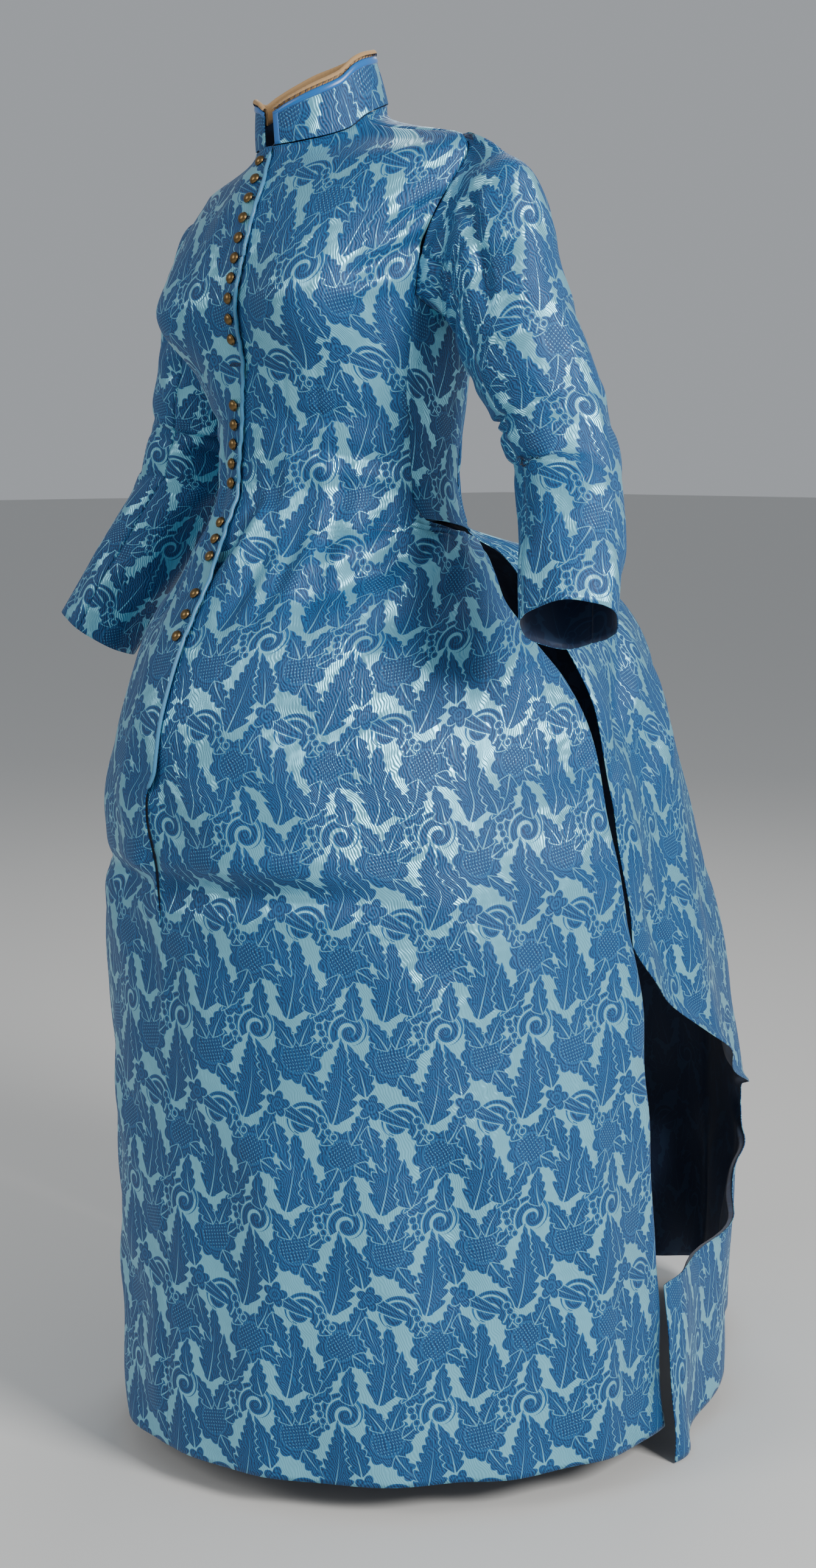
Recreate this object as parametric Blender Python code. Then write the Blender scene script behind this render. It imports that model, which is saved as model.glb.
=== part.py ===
"""Princess-line bustle dress in figured silk, kept in its worn form and hollow throughout.

Units are metres. X is the wearer's left, Y points behind the wearer and Z is up. The origin lies
between the shoulders, where the wearer's body holds the dress. Heights in the tables are counted
from the hem and turned into Z by HOLD_HEIGHT.
A turn is an angle round the body in degrees: 0 at centre front, 90 at the wearer's left side,
180 at centre back, and negative on the wearer's right.
"""
import math

import bmesh
import bpy
import numpy as np
from mathutils import Matrix, Vector

# Driving sizes
HOLD_HEIGHT = 1.14       # from the hem up to the hold between the shoulders
CLOTH = 0.0018           # thickness of the silk with its facing
LINING = 0.0012          # thickness of the collar's lining
SEAM_GAP = 0.0008        # what parts two pieces at a seam
ARMHOLE_GAP = 0.0006     # and a sleeve from its armhole
NECK_GAP = 0.0012        # and the collar from the neckline
LAP = 0.012              # how far the right front laps over the centre line
LAP_RISE = 0.0034        # how far its edge stands out over the left front
SLIT_BOTTOM = 0.63       # height where the front closure ends and the skirt seam begins
NECK_FRONT = 1.232       # height of the neckline at centre front
NECK_SIDE = 1.2555       # at the shoulder seam
SHOULDER_TIP = 1.224     # height where the shoulder seam meets the armhole
SHOULDER_LEAN = 0.075    # how much higher the worn dress sits towards the wearer's left, per width
LEAN_REACH = 0.17        # half width over which it leans
ARMHOLE_FRONT = 1.085    # height where the side piece meets the front at the armhole
ARMHOLE_BACK = 1.095     # and the back
ARMHOLE_SCOOP = 0.021    # how far the armhole dips between them
SIDE_BACK_CORNER = 0.8745  # the side piece's lower corner at the back
DRAPE_TURN = 133.0       # turn where the drape's seam to the waist ends at each side
DRAPE_GAP = 0.0003       # between the drape's top edge and the back's lower one
WAIST_SEAM = 0.883       # height where the back bodice ends and the drape begins
NECK_RADIUS = 0.0625     # half width of the neckline
NECK_DEPTH = 0.0635      # half its length front to back
NECK_CENTRE = 0.0225     # where its middle lies
COLLAR_OPENING = 7.0     # turn of each front end of the collar
STRIP_FROM = 0.84        # share of the collar's stand where the plain strip begins
LINING_TO = 1.11         # the collar's lining turns over above the strip
BUTTON_RADIUS = 0.0055
BUTTON_RISE = 0.0042     # height of a button's dome
BUTTON_GAP = 0.0006      # how far its base stands off the cloth

SLOPE_FROM = 1.150       # above this height the rows of the bodice slope with the shoulder
# Heights of the rows at the shoulder seam, the same for front and back.
SHOULDER_ROWS = (SLOPE_FROM, 1.178, 1.204, SHOULDER_TIP, 1.232, 1.243, NECK_SIDE)
# Heights of the front's rows below that, by row number: closer over the hip and bust.
HIP_CORNER = 0.8885      # where the side piece's lower front corner meets the front
FRONT_ROW_NUMBERS = (0, 9, 16, 20, 25, 31)
FRONT_ROW_HEIGHTS = (0.0, 0.60, 0.82, HIP_CORNER, 1.00, SLOPE_FROM)
FRONT_COLUMNS = 16
HEIGHT_PASSES = 3        # settles a row's height against the turn that the neckline is read at

# Horizontal sections of the bodice and front skirt. Half widths to the wearer's left and right, for
# the skirt swings a little to the left, then the distances from the section's own centre forward
# and back, and how square it is: 2 is an ellipse.
BODY_COLUMNS = ("height", "half_left", "half_right", "centre_y", "front", "back", "squareness")
BODY = (
    (0.000, 0.306, 0.264, 0.140, 0.322, 0.250, 2.0),
    (0.150, 0.302, 0.272, 0.140, 0.320, 0.240, 2.0),
    (0.290, 0.297, 0.290, 0.140, 0.318, 0.230, 2.0),
    (0.470, 0.292, 0.302, 0.140, 0.319, 0.220, 2.0),
    (0.560, 0.285, 0.288, 0.140, 0.322, 0.210, 2.0),
    (0.620, 0.268, 0.262, 0.140, 0.333, 0.205, 2.0),
    (0.690, 0.250, 0.233, 0.132, 0.318, 0.200, 2.0),
    (0.740, 0.226, 0.210, 0.105, 0.276, 0.195, 2.0),
    (0.780, 0.198, 0.187, 0.070, 0.223, 0.188, 2.0),
    (0.818, 0.166, 0.160, 0.046, 0.174, 0.172, 2.0),
    (0.852, 0.144, 0.140, 0.043, 0.149, 0.155, 2.0),
    (0.883, 0.124, 0.122, 0.043, 0.130, 0.124, 2.0),
    (0.920, 0.117, 0.117, 0.043, 0.114, 0.117, 2.0),
    (0.970, 0.124, 0.124, 0.043, 0.115, 0.117, 2.0),
    (1.020, 0.139, 0.139, 0.037, 0.118, 0.119, 2.1),
    (1.065, 0.151, 0.151, 0.037, 0.128, 0.114, 2.2),
    (1.095, 0.159, 0.159, 0.040, 0.136, 0.108, 2.3),
    (1.130, 0.168, 0.168, 0.044, 0.134, 0.102, 2.3),
    (1.170, 0.176, 0.176, 0.047, 0.123, 0.096, 2.1),
    (1.204, 0.176, 0.176, 0.050, 0.106, 0.089, 1.8),
    (1.224, 0.166, 0.166, 0.048, 0.094, 0.081, 1.6),
    (1.231, 0.150, 0.150, 0.044, 0.088, 0.075, 1.5),
    (1.242, 0.121, 0.121, 0.038, 0.081, 0.069, 1.4),
    (1.254, 0.089, 0.089, 0.030, 0.073, 0.063, 1.5),
    (1.264, 0.064, 0.064, 0.024, 0.066, 0.060, 1.8),
    (1.290, 0.058, 0.058, 0.020, 0.060, 0.056, 2.0),
)

# How far round the body each front reaches: side seam, armhole edge and shoulder seam above the
# waist, the sweep over the hip, and the free edge of the front skirt below it.
FRONT_REACH_COLUMNS = ("height", "turn")
FRONT_REACH = (
    (0.000, 106.0), (0.150, 104.0), (0.290, 101.0), (0.470, 95.5), (0.520, 92.5), (0.620, 91.0),
    (0.690, 91.5), (0.740, 97.0), (0.780, 104.0), (0.810, 112.0), (0.840, 121.0), (0.862, 128.0),
    (0.872, 121.0), (0.884, 96.0), (0.893, 86.5), (0.920, 85.0), (1.020, 77.0), (1.085, 77.0),
    (1.110, 75.5), (1.140, 76.0), (1.170, 79.0), (1.204, 86.0), (1.224, 92.0), (1.290, 92.0),
)
# Seam between the side piece and the back, then the back edge of the armhole, then the shoulder.
BACK_REACH_COLUMNS = ("height", "turn")
BACK_REACH = (
    (0.860, 131.0), (0.920, 129.0), (1.000, 124.0), (1.095, 117.0), (1.130, 112.5),
    (1.170, 107.0), (1.204, 99.0), (1.224, 92.0), (1.290, 92.0),
)
# The closure wanders round the worn body, towards the wearer's right at the waist.
CLOSURE_COLUMNS = ("height", "turn")
CLOSURE = (
    (0.000, 0.0), (0.780, -0.5), (0.818, -2.0), (0.852, -5.0), (0.883, -9.0), (0.920, -11.0),
    (0.970, -7.0), (1.020, -1.0), (1.060, 2.0), (1.100, 3.0), (1.190, 3.0), (1.225, 0.0),
    (1.240, 0.0),
)
# The drape over the bustle, in plan: its free edge at the wearer's side, the handle that swells
# its flank with the share of the way back where it lies, the handle that rounds its back corner,
# and its farthest point at centre back.
DRAPE_COLUMNS = ("height", "edge_x", "edge_y", "flank_x", "flank_share", "corner_x", "back_y")
DRAPE = (
    (-0.040, 0.314, 0.200, 0.292, 0.29, 0.060, 0.598),
    (0.100, 0.306, 0.200, 0.282, 0.31, 0.074, 0.600),
    (0.250, 0.284, 0.202, 0.256, 0.38, 0.122, 0.590),
    (0.400, 0.268, 0.192, 0.246, 0.42, 0.128, 0.548),
    (0.520, 0.260, 0.182, 0.242, 0.42, 0.132, 0.496),
    (0.620, 0.248, 0.172, 0.236, 0.42, 0.130, 0.457),
    (0.700, 0.232, 0.162, 0.226, 0.42, 0.130, 0.428),
    (0.750, 0.208, 0.156, 0.210, 0.42, 0.126, 0.410),
    (0.800, 0.168, 0.152, 0.180, 0.42, 0.116, 0.370),
    (0.835, 0.136, 0.150, 0.148, 0.42, 0.102, 0.296),
    (0.862, 0.112, 0.144, 0.116, 0.42, 0.088, 0.214),
    (0.8825, 0.096, 0.126, 0.090, 0.42, 0.064, 0.168),
)
# Where the drape's left edge turns back and shows its reverse, as a share of the way to the back.
NOTCH_COLUMNS = ("height", "share")
NOTCH = (
    (-0.050, 0.0), (0.146, 0.0), (0.150, 0.06), (0.155, 0.22), (0.165, 0.40), (0.178, 0.52),
    (0.190, 0.62), (0.205, 0.69), (0.225, 0.72), (0.245, 0.70), (0.262, 0.62), (0.299, 0.48),
    (0.339, 0.35), (0.377, 0.24), (0.425, 0.10), (0.470, 0.015), (0.482, 0.0), (0.900, 0.0),
)
# The worn sleeve as rings from the armhole to the cuff: where each ring stands farthest out and
# nearest in, seen from the front, then how far back its centre lies and its radius front to back.
ARM_COLUMNS = ("step", "outer_x", "outer_height", "inner_x", "inner_height", "y", "depth")
ARM = (
    (0.00, 0.166, 1.224, 0.151, 1.066, 0.048, 0.043),
    (0.08, 0.200, 1.214, 0.155, 1.061, 0.049, 0.046),
    (0.17, 0.231, 1.198, 0.161, 1.054, 0.051, 0.049),
    (0.26, 0.250, 1.169, 0.169, 1.044, 0.052, 0.051),
    (0.38, 0.268, 1.116, 0.181, 1.026, 0.053, 0.051),
    (0.50, 0.291, 1.056, 0.197, 1.002, 0.056, 0.051),
    (0.62, 0.314, 1.001, 0.218, 0.968, 0.061, 0.050),
    (0.73, 0.334, 0.951, 0.238, 0.934, 0.061, 0.049),
    (0.84, 0.358, 0.902, 0.266, 0.884, 0.042, 0.047),
    (0.93, 0.377, 0.858, 0.291, 0.832, 0.018, 0.045),
    (1.00, 0.390, 0.822, 0.311, 0.784, 0.000, 0.043),
)
# The right arm hangs lower and closer to the body.
RIGHT_ARM_COLUMNS = ("step", "closer", "drop")
RIGHT_ARM = (
    (0.00, 0.0, 0.0), (0.26, 0.004, 0.0), (0.50, 0.016, 0.006), (0.70, 0.020, 0.016),
    (0.86, 0.010, 0.034), (1.00, 0.000, 0.046),
)
# Height of the neckline round the neck, and the stand of the collar above it: the worn collar
# has sunk on the wearer's right.
NECK_COLUMNS = ("turn", "height")
NECK = (
    (0.0, NECK_FRONT), (20.0, NECK_FRONT), (46.0, 1.2345), (72.0, 1.2420), (90.0, NECK_SIDE),
    (110.0, 1.2650), (138.0, 1.2730), (180.0, 1.2760),
)
COLLAR_COLUMNS = ("turn", "stand")
COLLAR = (
    (-180.0, 0.046), (-130.0, 0.038), (-90.0, 0.033), (-60.0, 0.040), (-40.0, 0.044),
    (-20.0, 0.040), (0.0, 0.030), (25.0, 0.038), (58.0, 0.046), (90.0, 0.048), (130.0, 0.045),
    (180.0, 0.046),
)
# Buttons by groups down the front: how many, and the heights of the first and the last.
BUTTON_COLUMNS = ("count", "top", "bottom")
BUTTON_GROUPS = ((10, 1.219, 1.054), (5, 0.994, 0.921), (3, 0.884, 0.853), (3, 0.819, 0.781))

# Worn shape laid over the sections: the bust darts throw fullness forward at two points, and the
# skirt breaks in long shallow folds below the waist.
BUST_TURN = 31.0
BUST_HEIGHT = 1.072
BUST_RISE = 0.026
BUST_SPREAD = 21.0
BUST_ABOVE = 0.060
BUST_BELOW = 0.040
FOLD_COLUMNS = ("turn", "height", "slant", "length", "width", "depth")
FOLDS = (
    (62.0, 0.760, 0.52, 34.0, 0.016, -0.007),
    (58.0, 0.785, 0.52, 30.0, 0.018, 0.005),
    (20.0, 0.560, -0.15, 26.0, 0.018, -0.006),
    (14.0, 0.590, -0.10, 24.0, 0.016, 0.005),
    (26.0, 0.868, 1.60, 10.0, 0.020, -0.004),
    (-70.0, 0.765, -0.52, 30.0, 0.016, -0.006),
    (-30.0, 0.575, 0.12, 24.0, 0.018, -0.005),
)
PLEATS = 3               # soft pleats in each half of the drape
PLEAT_DEPTH_TOP = 0.004
PLEAT_DEPTH = 0.008
CORNER_DROP = 0.030      # how much lower the drape's front corners hang than its back

SILK_BLUE = (0.030, 0.170, 0.420, 1.0)
PLAIN_BLUE = (0.020, 0.210, 0.400, 1.0)
LINING_TAN = (0.520, 0.370, 0.170, 1.0)
BUTTON_METAL = (0.330, 0.230, 0.120, 1.0)


def column(table, columns, name):
    """One named column of a table as an array."""
    return np.array([row[columns.index(name)] for row in table])


def smooth_read(table, columns, name, at):
    """Read a column at any height along a smooth curve that never overshoots its rows."""
    x = column(table, columns, columns[0])
    y = column(table, columns, name)
    step = np.diff(x)
    slope = np.diff(y) / step
    tangent = np.zeros(len(x))
    tangent[0] = slope[0]
    tangent[-1] = slope[-1]
    for i in range(1, len(x) - 1):
        if slope[i - 1] * slope[i] > 0:
            before = 2 * step[i] + step[i - 1]
            after = step[i] + 2 * step[i - 1]
            tangent[i] = (before + after) / (before / slope[i - 1] + after / slope[i])
    at = np.clip(np.asarray(at, float), x[0], x[-1])
    k = np.clip(np.searchsorted(x, at, side="right") - 1, 0, len(x) - 2)
    t = (at - x[k]) / step[k]
    return (y[k] * (2 * t**3 - 3 * t**2 + 1) + y[k + 1] * (3 * t**2 - 2 * t**3)
            + step[k] * (tangent[k] * (t**3 - 2 * t**2 + t) + tangent[k + 1] * (t**3 - t**2)))


def body_read(name, height):
    return smooth_read(BODY, BODY_COLUMNS, name, height)


def ease(value, start, end):
    """Smooth step from 0 at start to 1 at end."""
    t = np.clip((np.asarray(value, float) - start) / (end - start), 0.0, 1.0)
    return t * t * (3 - 2 * t)


def neck_height(turn):
    """Height of the neckline, lowest at centre front."""
    return smooth_read(NECK, NECK_COLUMNS, "height", np.abs(turn))


def neck_ring(turn):
    """The neckline in plan: a round neck, a little longer to the back."""
    angle = np.radians(turn)
    return NECK_RADIUS * np.sin(angle), NECK_CENTRE - NECK_DEPTH * np.cos(angle)


def worn_relief(turn, height):
    """How far the worn cloth stands out from its plain section."""
    spread = (np.abs(turn) - BUST_TURN) / BUST_SPREAD
    rise = np.where(height > BUST_HEIGHT, (height - BUST_HEIGHT) / BUST_ABOVE,
                    (height - BUST_HEIGHT) / BUST_BELOW)
    out = BUST_RISE * np.exp(-spread**2 - rise**2)
    for row in FOLDS:
        fold = dict(zip(FOLD_COLUMNS, row))
        along = turn - fold["turn"]
        across = height - fold["height"] - fold["slant"] * np.radians(along) * 0.2
        out = out + fold["depth"] * np.exp(-(along / fold["length"])**2
                                           - (across / fold["width"])**2)
    return out


def body_point(turn, height):
    """A point of the cloth's outer face on the bodice or front skirt."""
    turn, height = np.broadcast_arrays(np.asarray(turn, float), np.asarray(height, float))
    power = 2.0 / body_read("squareness", height)
    s = np.sin(np.radians(turn))
    c = np.cos(np.radians(turn))
    reach = np.where(c > 0, body_read("front", height), body_read("back", height))
    relief = worn_relief(turn, height)
    x = (half_width(turn, height) + relief) * np.sign(s) * np.abs(s)**power
    y = body_read("centre_y", height) - (reach + relief) * np.sign(c) * np.abs(c)**power
    blend = ease(height, neck_height(turn) - 0.030, neck_height(turn))
    ring_x, ring_y = neck_ring(turn)
    return np.stack([x + (ring_x - x) * blend, y + (ring_y - y) * blend, height], -1)


def front_reach(height):
    return smooth_read(FRONT_REACH, FRONT_REACH_COLUMNS, "turn", height)


def back_reach(height):
    return smooth_read(BACK_REACH, BACK_REACH_COLUMNS, "turn", height)


def half_width(turn, height):
    """Half width of the section on the side that a turn lies on."""
    return np.where(np.asarray(turn) < 0, body_read("half_right", height),
                    body_read("half_left", height))


def turn_of(distance, height):
    """The turn that a distance along the cloth takes near centre front or a seam."""
    return np.degrees(distance / body_read("half_right", height))


def to_world(points):
    """Table points to the dress as worn: leaning at the shoulders, counted from the hold."""
    points = np.asarray(points, float)
    width = np.clip(points[..., 0], -LEAN_REACH, LEAN_REACH)
    lean = SHOULDER_LEAN * width * ease(points[..., 2], 0.95, 1.18)
    return points + np.stack([0 * lean, 0 * lean, lean - HOLD_HEIGHT], -1)


def unit(vectors):
    return vectors / np.linalg.norm(vectors, axis=-1, keepdims=True)


def on_body(turn, height, lift=0.0):
    """Points of the bodice or front skirt with their outward normals, raised by lift."""
    turn, height = np.broadcast_arrays(np.asarray(turn, float), np.asarray(height, float))
    left = to_world(body_point(turn + 0.5, height)) - to_world(body_point(turn - 0.5, height))
    up = to_world(body_point(turn, height + 0.002)) - to_world(body_point(turn, height - 0.002))
    normals = unit(np.cross(left, up))
    points = to_world(body_point(turn, height))
    return points + normals * np.asarray(lift)[..., None], normals


def grid_normals(grid, ring=False):
    """Normals of a grid of points. With ring, its columns close round a tube."""
    if ring:
        along = np.roll(grid, -1, axis=1) - np.roll(grid, 1, axis=1)
    else:
        along = np.gradient(grid, axis=1)
    return unit(np.cross(along, np.gradient(grid, axis=0)))


def material(name, colour, roughness, metallic=0.0):
    made = bpy.data.materials.new(name)
    made.use_nodes = True
    shader = made.node_tree.nodes["Principled BSDF"]
    shader.inputs["Base Color"].default_value = colour
    shader.inputs["Roughness"].default_value = roughness
    shader.inputs["Metallic"].default_value = metallic
    return made


def cloth_piece(name, points, normals, finish, collection, thickness=CLOTH):
    """One cut piece: a grid of points on its outer face, made into a closed wall."""
    rows, columns = points.shape[:2]
    inner = points - normals * thickness
    count = rows * columns
    seen = np.cross(points[1, 0] - points[0, 0], points[0, 1] - points[0, 0]) @ normals[0, 0]
    faces = []
    for r in range(rows - 1):
        for c in range(columns - 1):
            first = r * columns + c
            cell = [first, first + 1, first + columns + 1, first + columns]
            faces.append(cell)
            faces.append([i + count for i in reversed(cell)])
    rim = [c for c in range(columns)]
    rim += [r * columns + columns - 1 for r in range(1, rows)]
    rim += [(rows - 1) * columns + c for c in range(columns - 2, -1, -1)]
    rim += [r * columns for r in range(rows - 2, 0, -1)]
    for here, after in zip(rim, rim[1:] + rim[:1]):
        faces.append([after, here, here + count, after + count])
    if seen > 0:
        faces = [face[::-1] for face in faces]
    mesh = bpy.data.meshes.new(name)
    mesh.from_pydata(np.concatenate([points, inner]).reshape(-1, 3).tolist(), [], faces)
    mesh.materials.append(finish)
    mesh.shade_smooth()
    piece = bpy.data.objects.new(name, mesh)
    collection.objects.link(piece)
    return piece


def level(base, turn):
    """Height of a row at a turn: rows above the armholes follow the slope of the neckline. base
    is the row's height at the shoulder seam."""
    rise = (neck_height(turn) - SLOPE_FROM) / (NECK_SIDE - SLOPE_FROM)
    return np.where(base > SLOPE_FROM, SLOPE_FROM + (base - SLOPE_FROM) * rise, base)


def open_seam(points, edge, inner):
    """Draw one edge of a grid back from its seam by half the seam's gap."""
    points[:, edge] += unit(points[:, inner] - points[:, edge]) * SEAM_GAP / 2


def front_rows():
    """Heights of the front's rows from the hem up to where they begin to slope."""
    return np.interp(np.arange(FRONT_ROW_NUMBERS[-1] + 1), FRONT_ROW_NUMBERS, FRONT_ROW_HEIGHTS)


def front_grid(side, columns):
    """A front cut in one from shoulder to hem. side is 1 for the wearer's left, -1 for the right."""
    share = np.linspace(0.0, 1.0, columns)[None, :]
    base = np.append(front_rows()[:-1], SHOULDER_ROWS)[:, None]
    height = base * np.ones_like(share)
    for _ in range(HEIGHT_PASSES):
        lapped = ease(height, SLIT_BOTTOM, SLIT_BOTTOM + 0.03)
        start = smooth_read(CLOSURE, CLOSURE_COLUMNS, "turn", height)
        start = start - side * turn_of(LAP, height) * lapped
        turn = start + (side * front_reach(height) - start) * share**0.95
        height = level(base, turn)
    lift = np.zeros(turn.shape)
    if side < 0:
        distance = np.radians(start - turn) * body_read("half_right", height)
        over = ease(height, SLIT_BOTTOM - 0.14, SLIT_BOTTOM - 0.07)
        lift = LAP_RISE * over * (1 - ease(distance, 3.4 * LAP, 6.0 * LAP))
    points, normals = on_body(turn, height, lift)
    open_seam(points, 0, 1)
    open_seam(points, -1, -2)
    return points, normals


def underarm(share):
    """Height of the armhole's lower curve, from the front's edge to the back's."""
    return (ARMHOLE_FRONT + (ARMHOLE_BACK - ARMHOLE_FRONT) * share
            - ARMHOLE_SCOOP * 4 * share * (1 - share))


def side_grid(side, columns):
    """Under-arm piece between the front and the back, from the hip sweep up to the armhole. Its
    rows meet those of the front."""
    share = np.linspace(0.0, 1.0, columns)[None, :]
    rows = front_rows()
    seam = rows[(rows >= HIP_CORNER) & (rows < ARMHOLE_FRONT - 0.005)]
    seam = np.append(seam, ARMHOLE_FRONT)[:, None]
    low = HIP_CORNER + (SIDE_BACK_CORNER - HIP_CORNER) * share
    rise = (seam - HIP_CORNER) / (ARMHOLE_FRONT - HIP_CORNER)
    height = low + (underarm(share) - low) * rise
    start = front_reach(height)
    points, normals = on_body(side * (start + (back_reach(height) - start) * share), height)
    open_seam(points, 0, 1)
    open_seam(points, -1, -2)
    return points, normals


def back_grid(side, rows, columns):
    """Half of the back bodice, from the waist seam to the neck and shoulder."""
    share = np.linspace(0.0, 1.0, columns)[None, :]
    base = np.linspace(WAIST_SEAM, SHOULDER_ROWS[0], rows)
    base = np.append(base[:-1], SHOULDER_ROWS)[:, None]
    height = base * np.ones_like(share)
    for _ in range(HEIGHT_PASSES):
        start = back_reach(height)
        turn = start + (180.0 - start) * share
        height = level(base, turn)
    points, normals = on_body(side * turn, height)
    open_seam(points, 0, 1)
    points[:, -1, 0] = side * SEAM_GAP / 2
    normals[:, -1, 0] = 0.0
    return points, unit(normals)


def armhole_loop(count):
    """Points round the wearer's left armhole, from the shoulder tip down the front and back up."""
    front = np.linspace(SHOULDER_TIP, ARMHOLE_FRONT, 30)
    rear = np.linspace(ARMHOLE_BACK, SHOULDER_TIP, 30)
    across = np.linspace(0.0, 1.0, 20)[1:-1]
    under = underarm(across)
    start = front_reach(under)
    under_turn = start + (back_reach(under) - start) * across
    loop = np.concatenate([body_point(front_reach(front), front), body_point(under_turn, under),
                           body_point(back_reach(rear), rear)[:-1]])
    closed = np.vstack([loop, loop[:1]])
    along = np.concatenate([[0], np.cumsum(np.linalg.norm(np.diff(closed, axis=0), axis=1))])
    at = np.arange(count) / count * along[-1]
    return np.stack([np.interp(at, along, closed[:, k]) for k in range(3)], -1)


def sleeve_grid(rings, count, side):
    """A sleeve as rings: the first is the armhole, the last the cuff. side is 1 for the wearer's
    left and -1 for the right."""
    loop = armhole_loop(count)
    step = np.linspace(0.0, 1.0, rings)
    read = {name: smooth_read(ARM, ARM_COLUMNS, name, step) for name in ARM_COLUMNS[1:]}
    closer = smooth_read(RIGHT_ARM, RIGHT_ARM_COLUMNS, "closer", step) * (side < 0)
    drop = smooth_read(RIGHT_ARM, RIGHT_ARM_COLUMNS, "drop", step) * (side < 0)
    outer = np.stack([read["outer_x"] - closer, read["y"], read["outer_height"] - drop], -1)
    inner = np.stack([read["inner_x"] - closer, read["y"], read["inner_height"] - drop], -1)
    centre = (outer + inner) / 2
    along = np.gradient(centre, axis=0)
    angle = np.arange(count) / count * 2 * math.pi
    grid = np.zeros((rings, count, 3))
    for i in range(rings):
        out = (outer[i] - inner[i]) / 2
        ahead = np.cross(along[i], out)
        ahead *= -np.sign(ahead[1]) * read["depth"][i] / np.linalg.norm(ahead)
        ring = centre[i] + np.cos(angle)[:, None] * out + np.sin(angle)[:, None] * ahead
        blend = float(ease(step[i], 0.0, 0.22))
        moved = loop + (centre[i] - centre[0])
        grid[i] = moved * (1 - blend) + ring * blend
    grid[0] = loop + np.array([ARMHOLE_GAP, 0.0, 0.0])
    if side < 0:
        grid = grid * np.array([-1.0, 1.0, 1.0])
    grid = to_world(grid)
    normals = grid_normals(grid, ring=True)
    away = grid - grid.mean(axis=1, keepdims=True)
    return grid, normals * np.sign((normals * away).sum(-1, keepdims=True))


def drape_point(share, height):
    """A point of the drape: share runs from the free left edge (-1) by centre back (0) to the
    right edge (1)."""
    share, height = np.broadcast_arrays(np.asarray(share, float), np.asarray(height, float))
    read = {name: smooth_read(DRAPE, DRAPE_COLUMNS, name, height) for name in DRAPE_COLUMNS[1:]}
    t = 1 - np.abs(share)
    u = 1 - t
    flank_y = read["edge_y"] + read["flank_share"] * (read["back_y"] - read["edge_y"])
    x = (u**3 * read["edge_x"] + 3 * u * u * t * read["flank_x"]
         + 3 * u * t * t * read["corner_x"])
    y = (u**3 * read["edge_y"] + 3 * u * u * t * flank_y
         + (3 * u * t * t + t**3) * read["back_y"])
    depth = PLEAT_DEPTH_TOP + (PLEAT_DEPTH - PLEAT_DEPTH_TOP) * ease(height, 0.80, 0.60)
    depth = depth * ease(height, 0.8830, 0.860)
    wave = depth * np.cos(t * PLEATS * 2 * math.pi) * ease(t, 0.0, 0.12)
    out_x = u**1.5
    out_y = 1 - u**1.5
    size = np.hypot(out_x, out_y)
    hand = np.where(share > 0, -1.0, 1.0)
    loose = np.stack([hand * (x + wave * out_x / size), y + wave * out_y / size, height], -1)
    seam_turn = 180.0 - (180.0 - DRAPE_TURN) * np.abs(share)
    sewn = body_point(hand * seam_turn, WAIST_SEAM)
    sewn[..., 2] = height
    return loose + (sewn - loose) * ease(height, 0.855, WAIST_SEAM)[..., None]


def drape_grid(rows, columns):
    """The back drape from the waist seam to the floor, seen from behind."""
    heights = drape_rows(rows)[:, None]
    notch = smooth_read(NOTCH, NOTCH_COLUMNS, "share", heights)
    half = columns // 2
    left = np.linspace(-1.0, 0.0, half + 1)[None, :] * (1 - notch)
    right = np.linspace(0.0, 1.0, half + 1)[None, 1:] * np.ones_like(heights)
    share = np.concatenate([left, right], axis=1)
    longer = CORNER_DROP * ease(np.abs(share), 0.55, 1.0) * ease(heights, 0.146, 0.0)
    low = heights - longer
    step = 0.002
    left = drape_at(share - step, low) - drape_at(share + step, low)
    up = drape_at(share, low + step) - drape_at(share, low - step)
    return drape_at(share, low), unit(np.cross(left, up))


def drape_at(share, height):
    return to_world(drape_point(share, height))


def drape_rows(count):
    """Row heights of the drape, close together at the notch's lower edge and over the bustle."""
    anchors = np.array([0.0, 0.146, 0.165, 0.205, 0.245, 0.482, 0.720, WAIST_SEAM - DRAPE_GAP])
    shares = np.array([0.0, 0.10, 0.233, 0.367, 0.433, 0.667, 0.80, 1.0])
    return np.interp(np.linspace(0, 1, count), shares, anchors)


def collar_band(low, high, columns, out):
    """Part of the standing collar between two shares of its height, open at centre front."""
    turn = np.linspace(COLLAR_OPENING, 360.0 - COLLAR_OPENING, columns)[None, :]
    share = np.array([low, (low + high) / 2, high])[:, None]
    signed = np.where(turn > 180, turn - 360, turn)
    stand = smooth_read(COLLAR, COLLAR_COLUMNS, "stand", signed)
    base_x, base_y = neck_ring(turn)
    shrink = 1 - 0.105 * share
    x = base_x * shrink
    y = NECK_CENTRE + (base_y - NECK_CENTRE) * shrink - 0.0085 * share
    radial = np.hypot(x, y - NECK_CENTRE)
    x = x * (1 + out / radial)
    y = NECK_CENTRE + (y - NECK_CENTRE) * (1 + out / radial)
    height = neck_height(signed) + NECK_GAP + share * stand
    grid = to_world(np.stack([x, y, np.broadcast_to(height, x.shape)], -1))
    return grid, grid_normals(grid)


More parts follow.
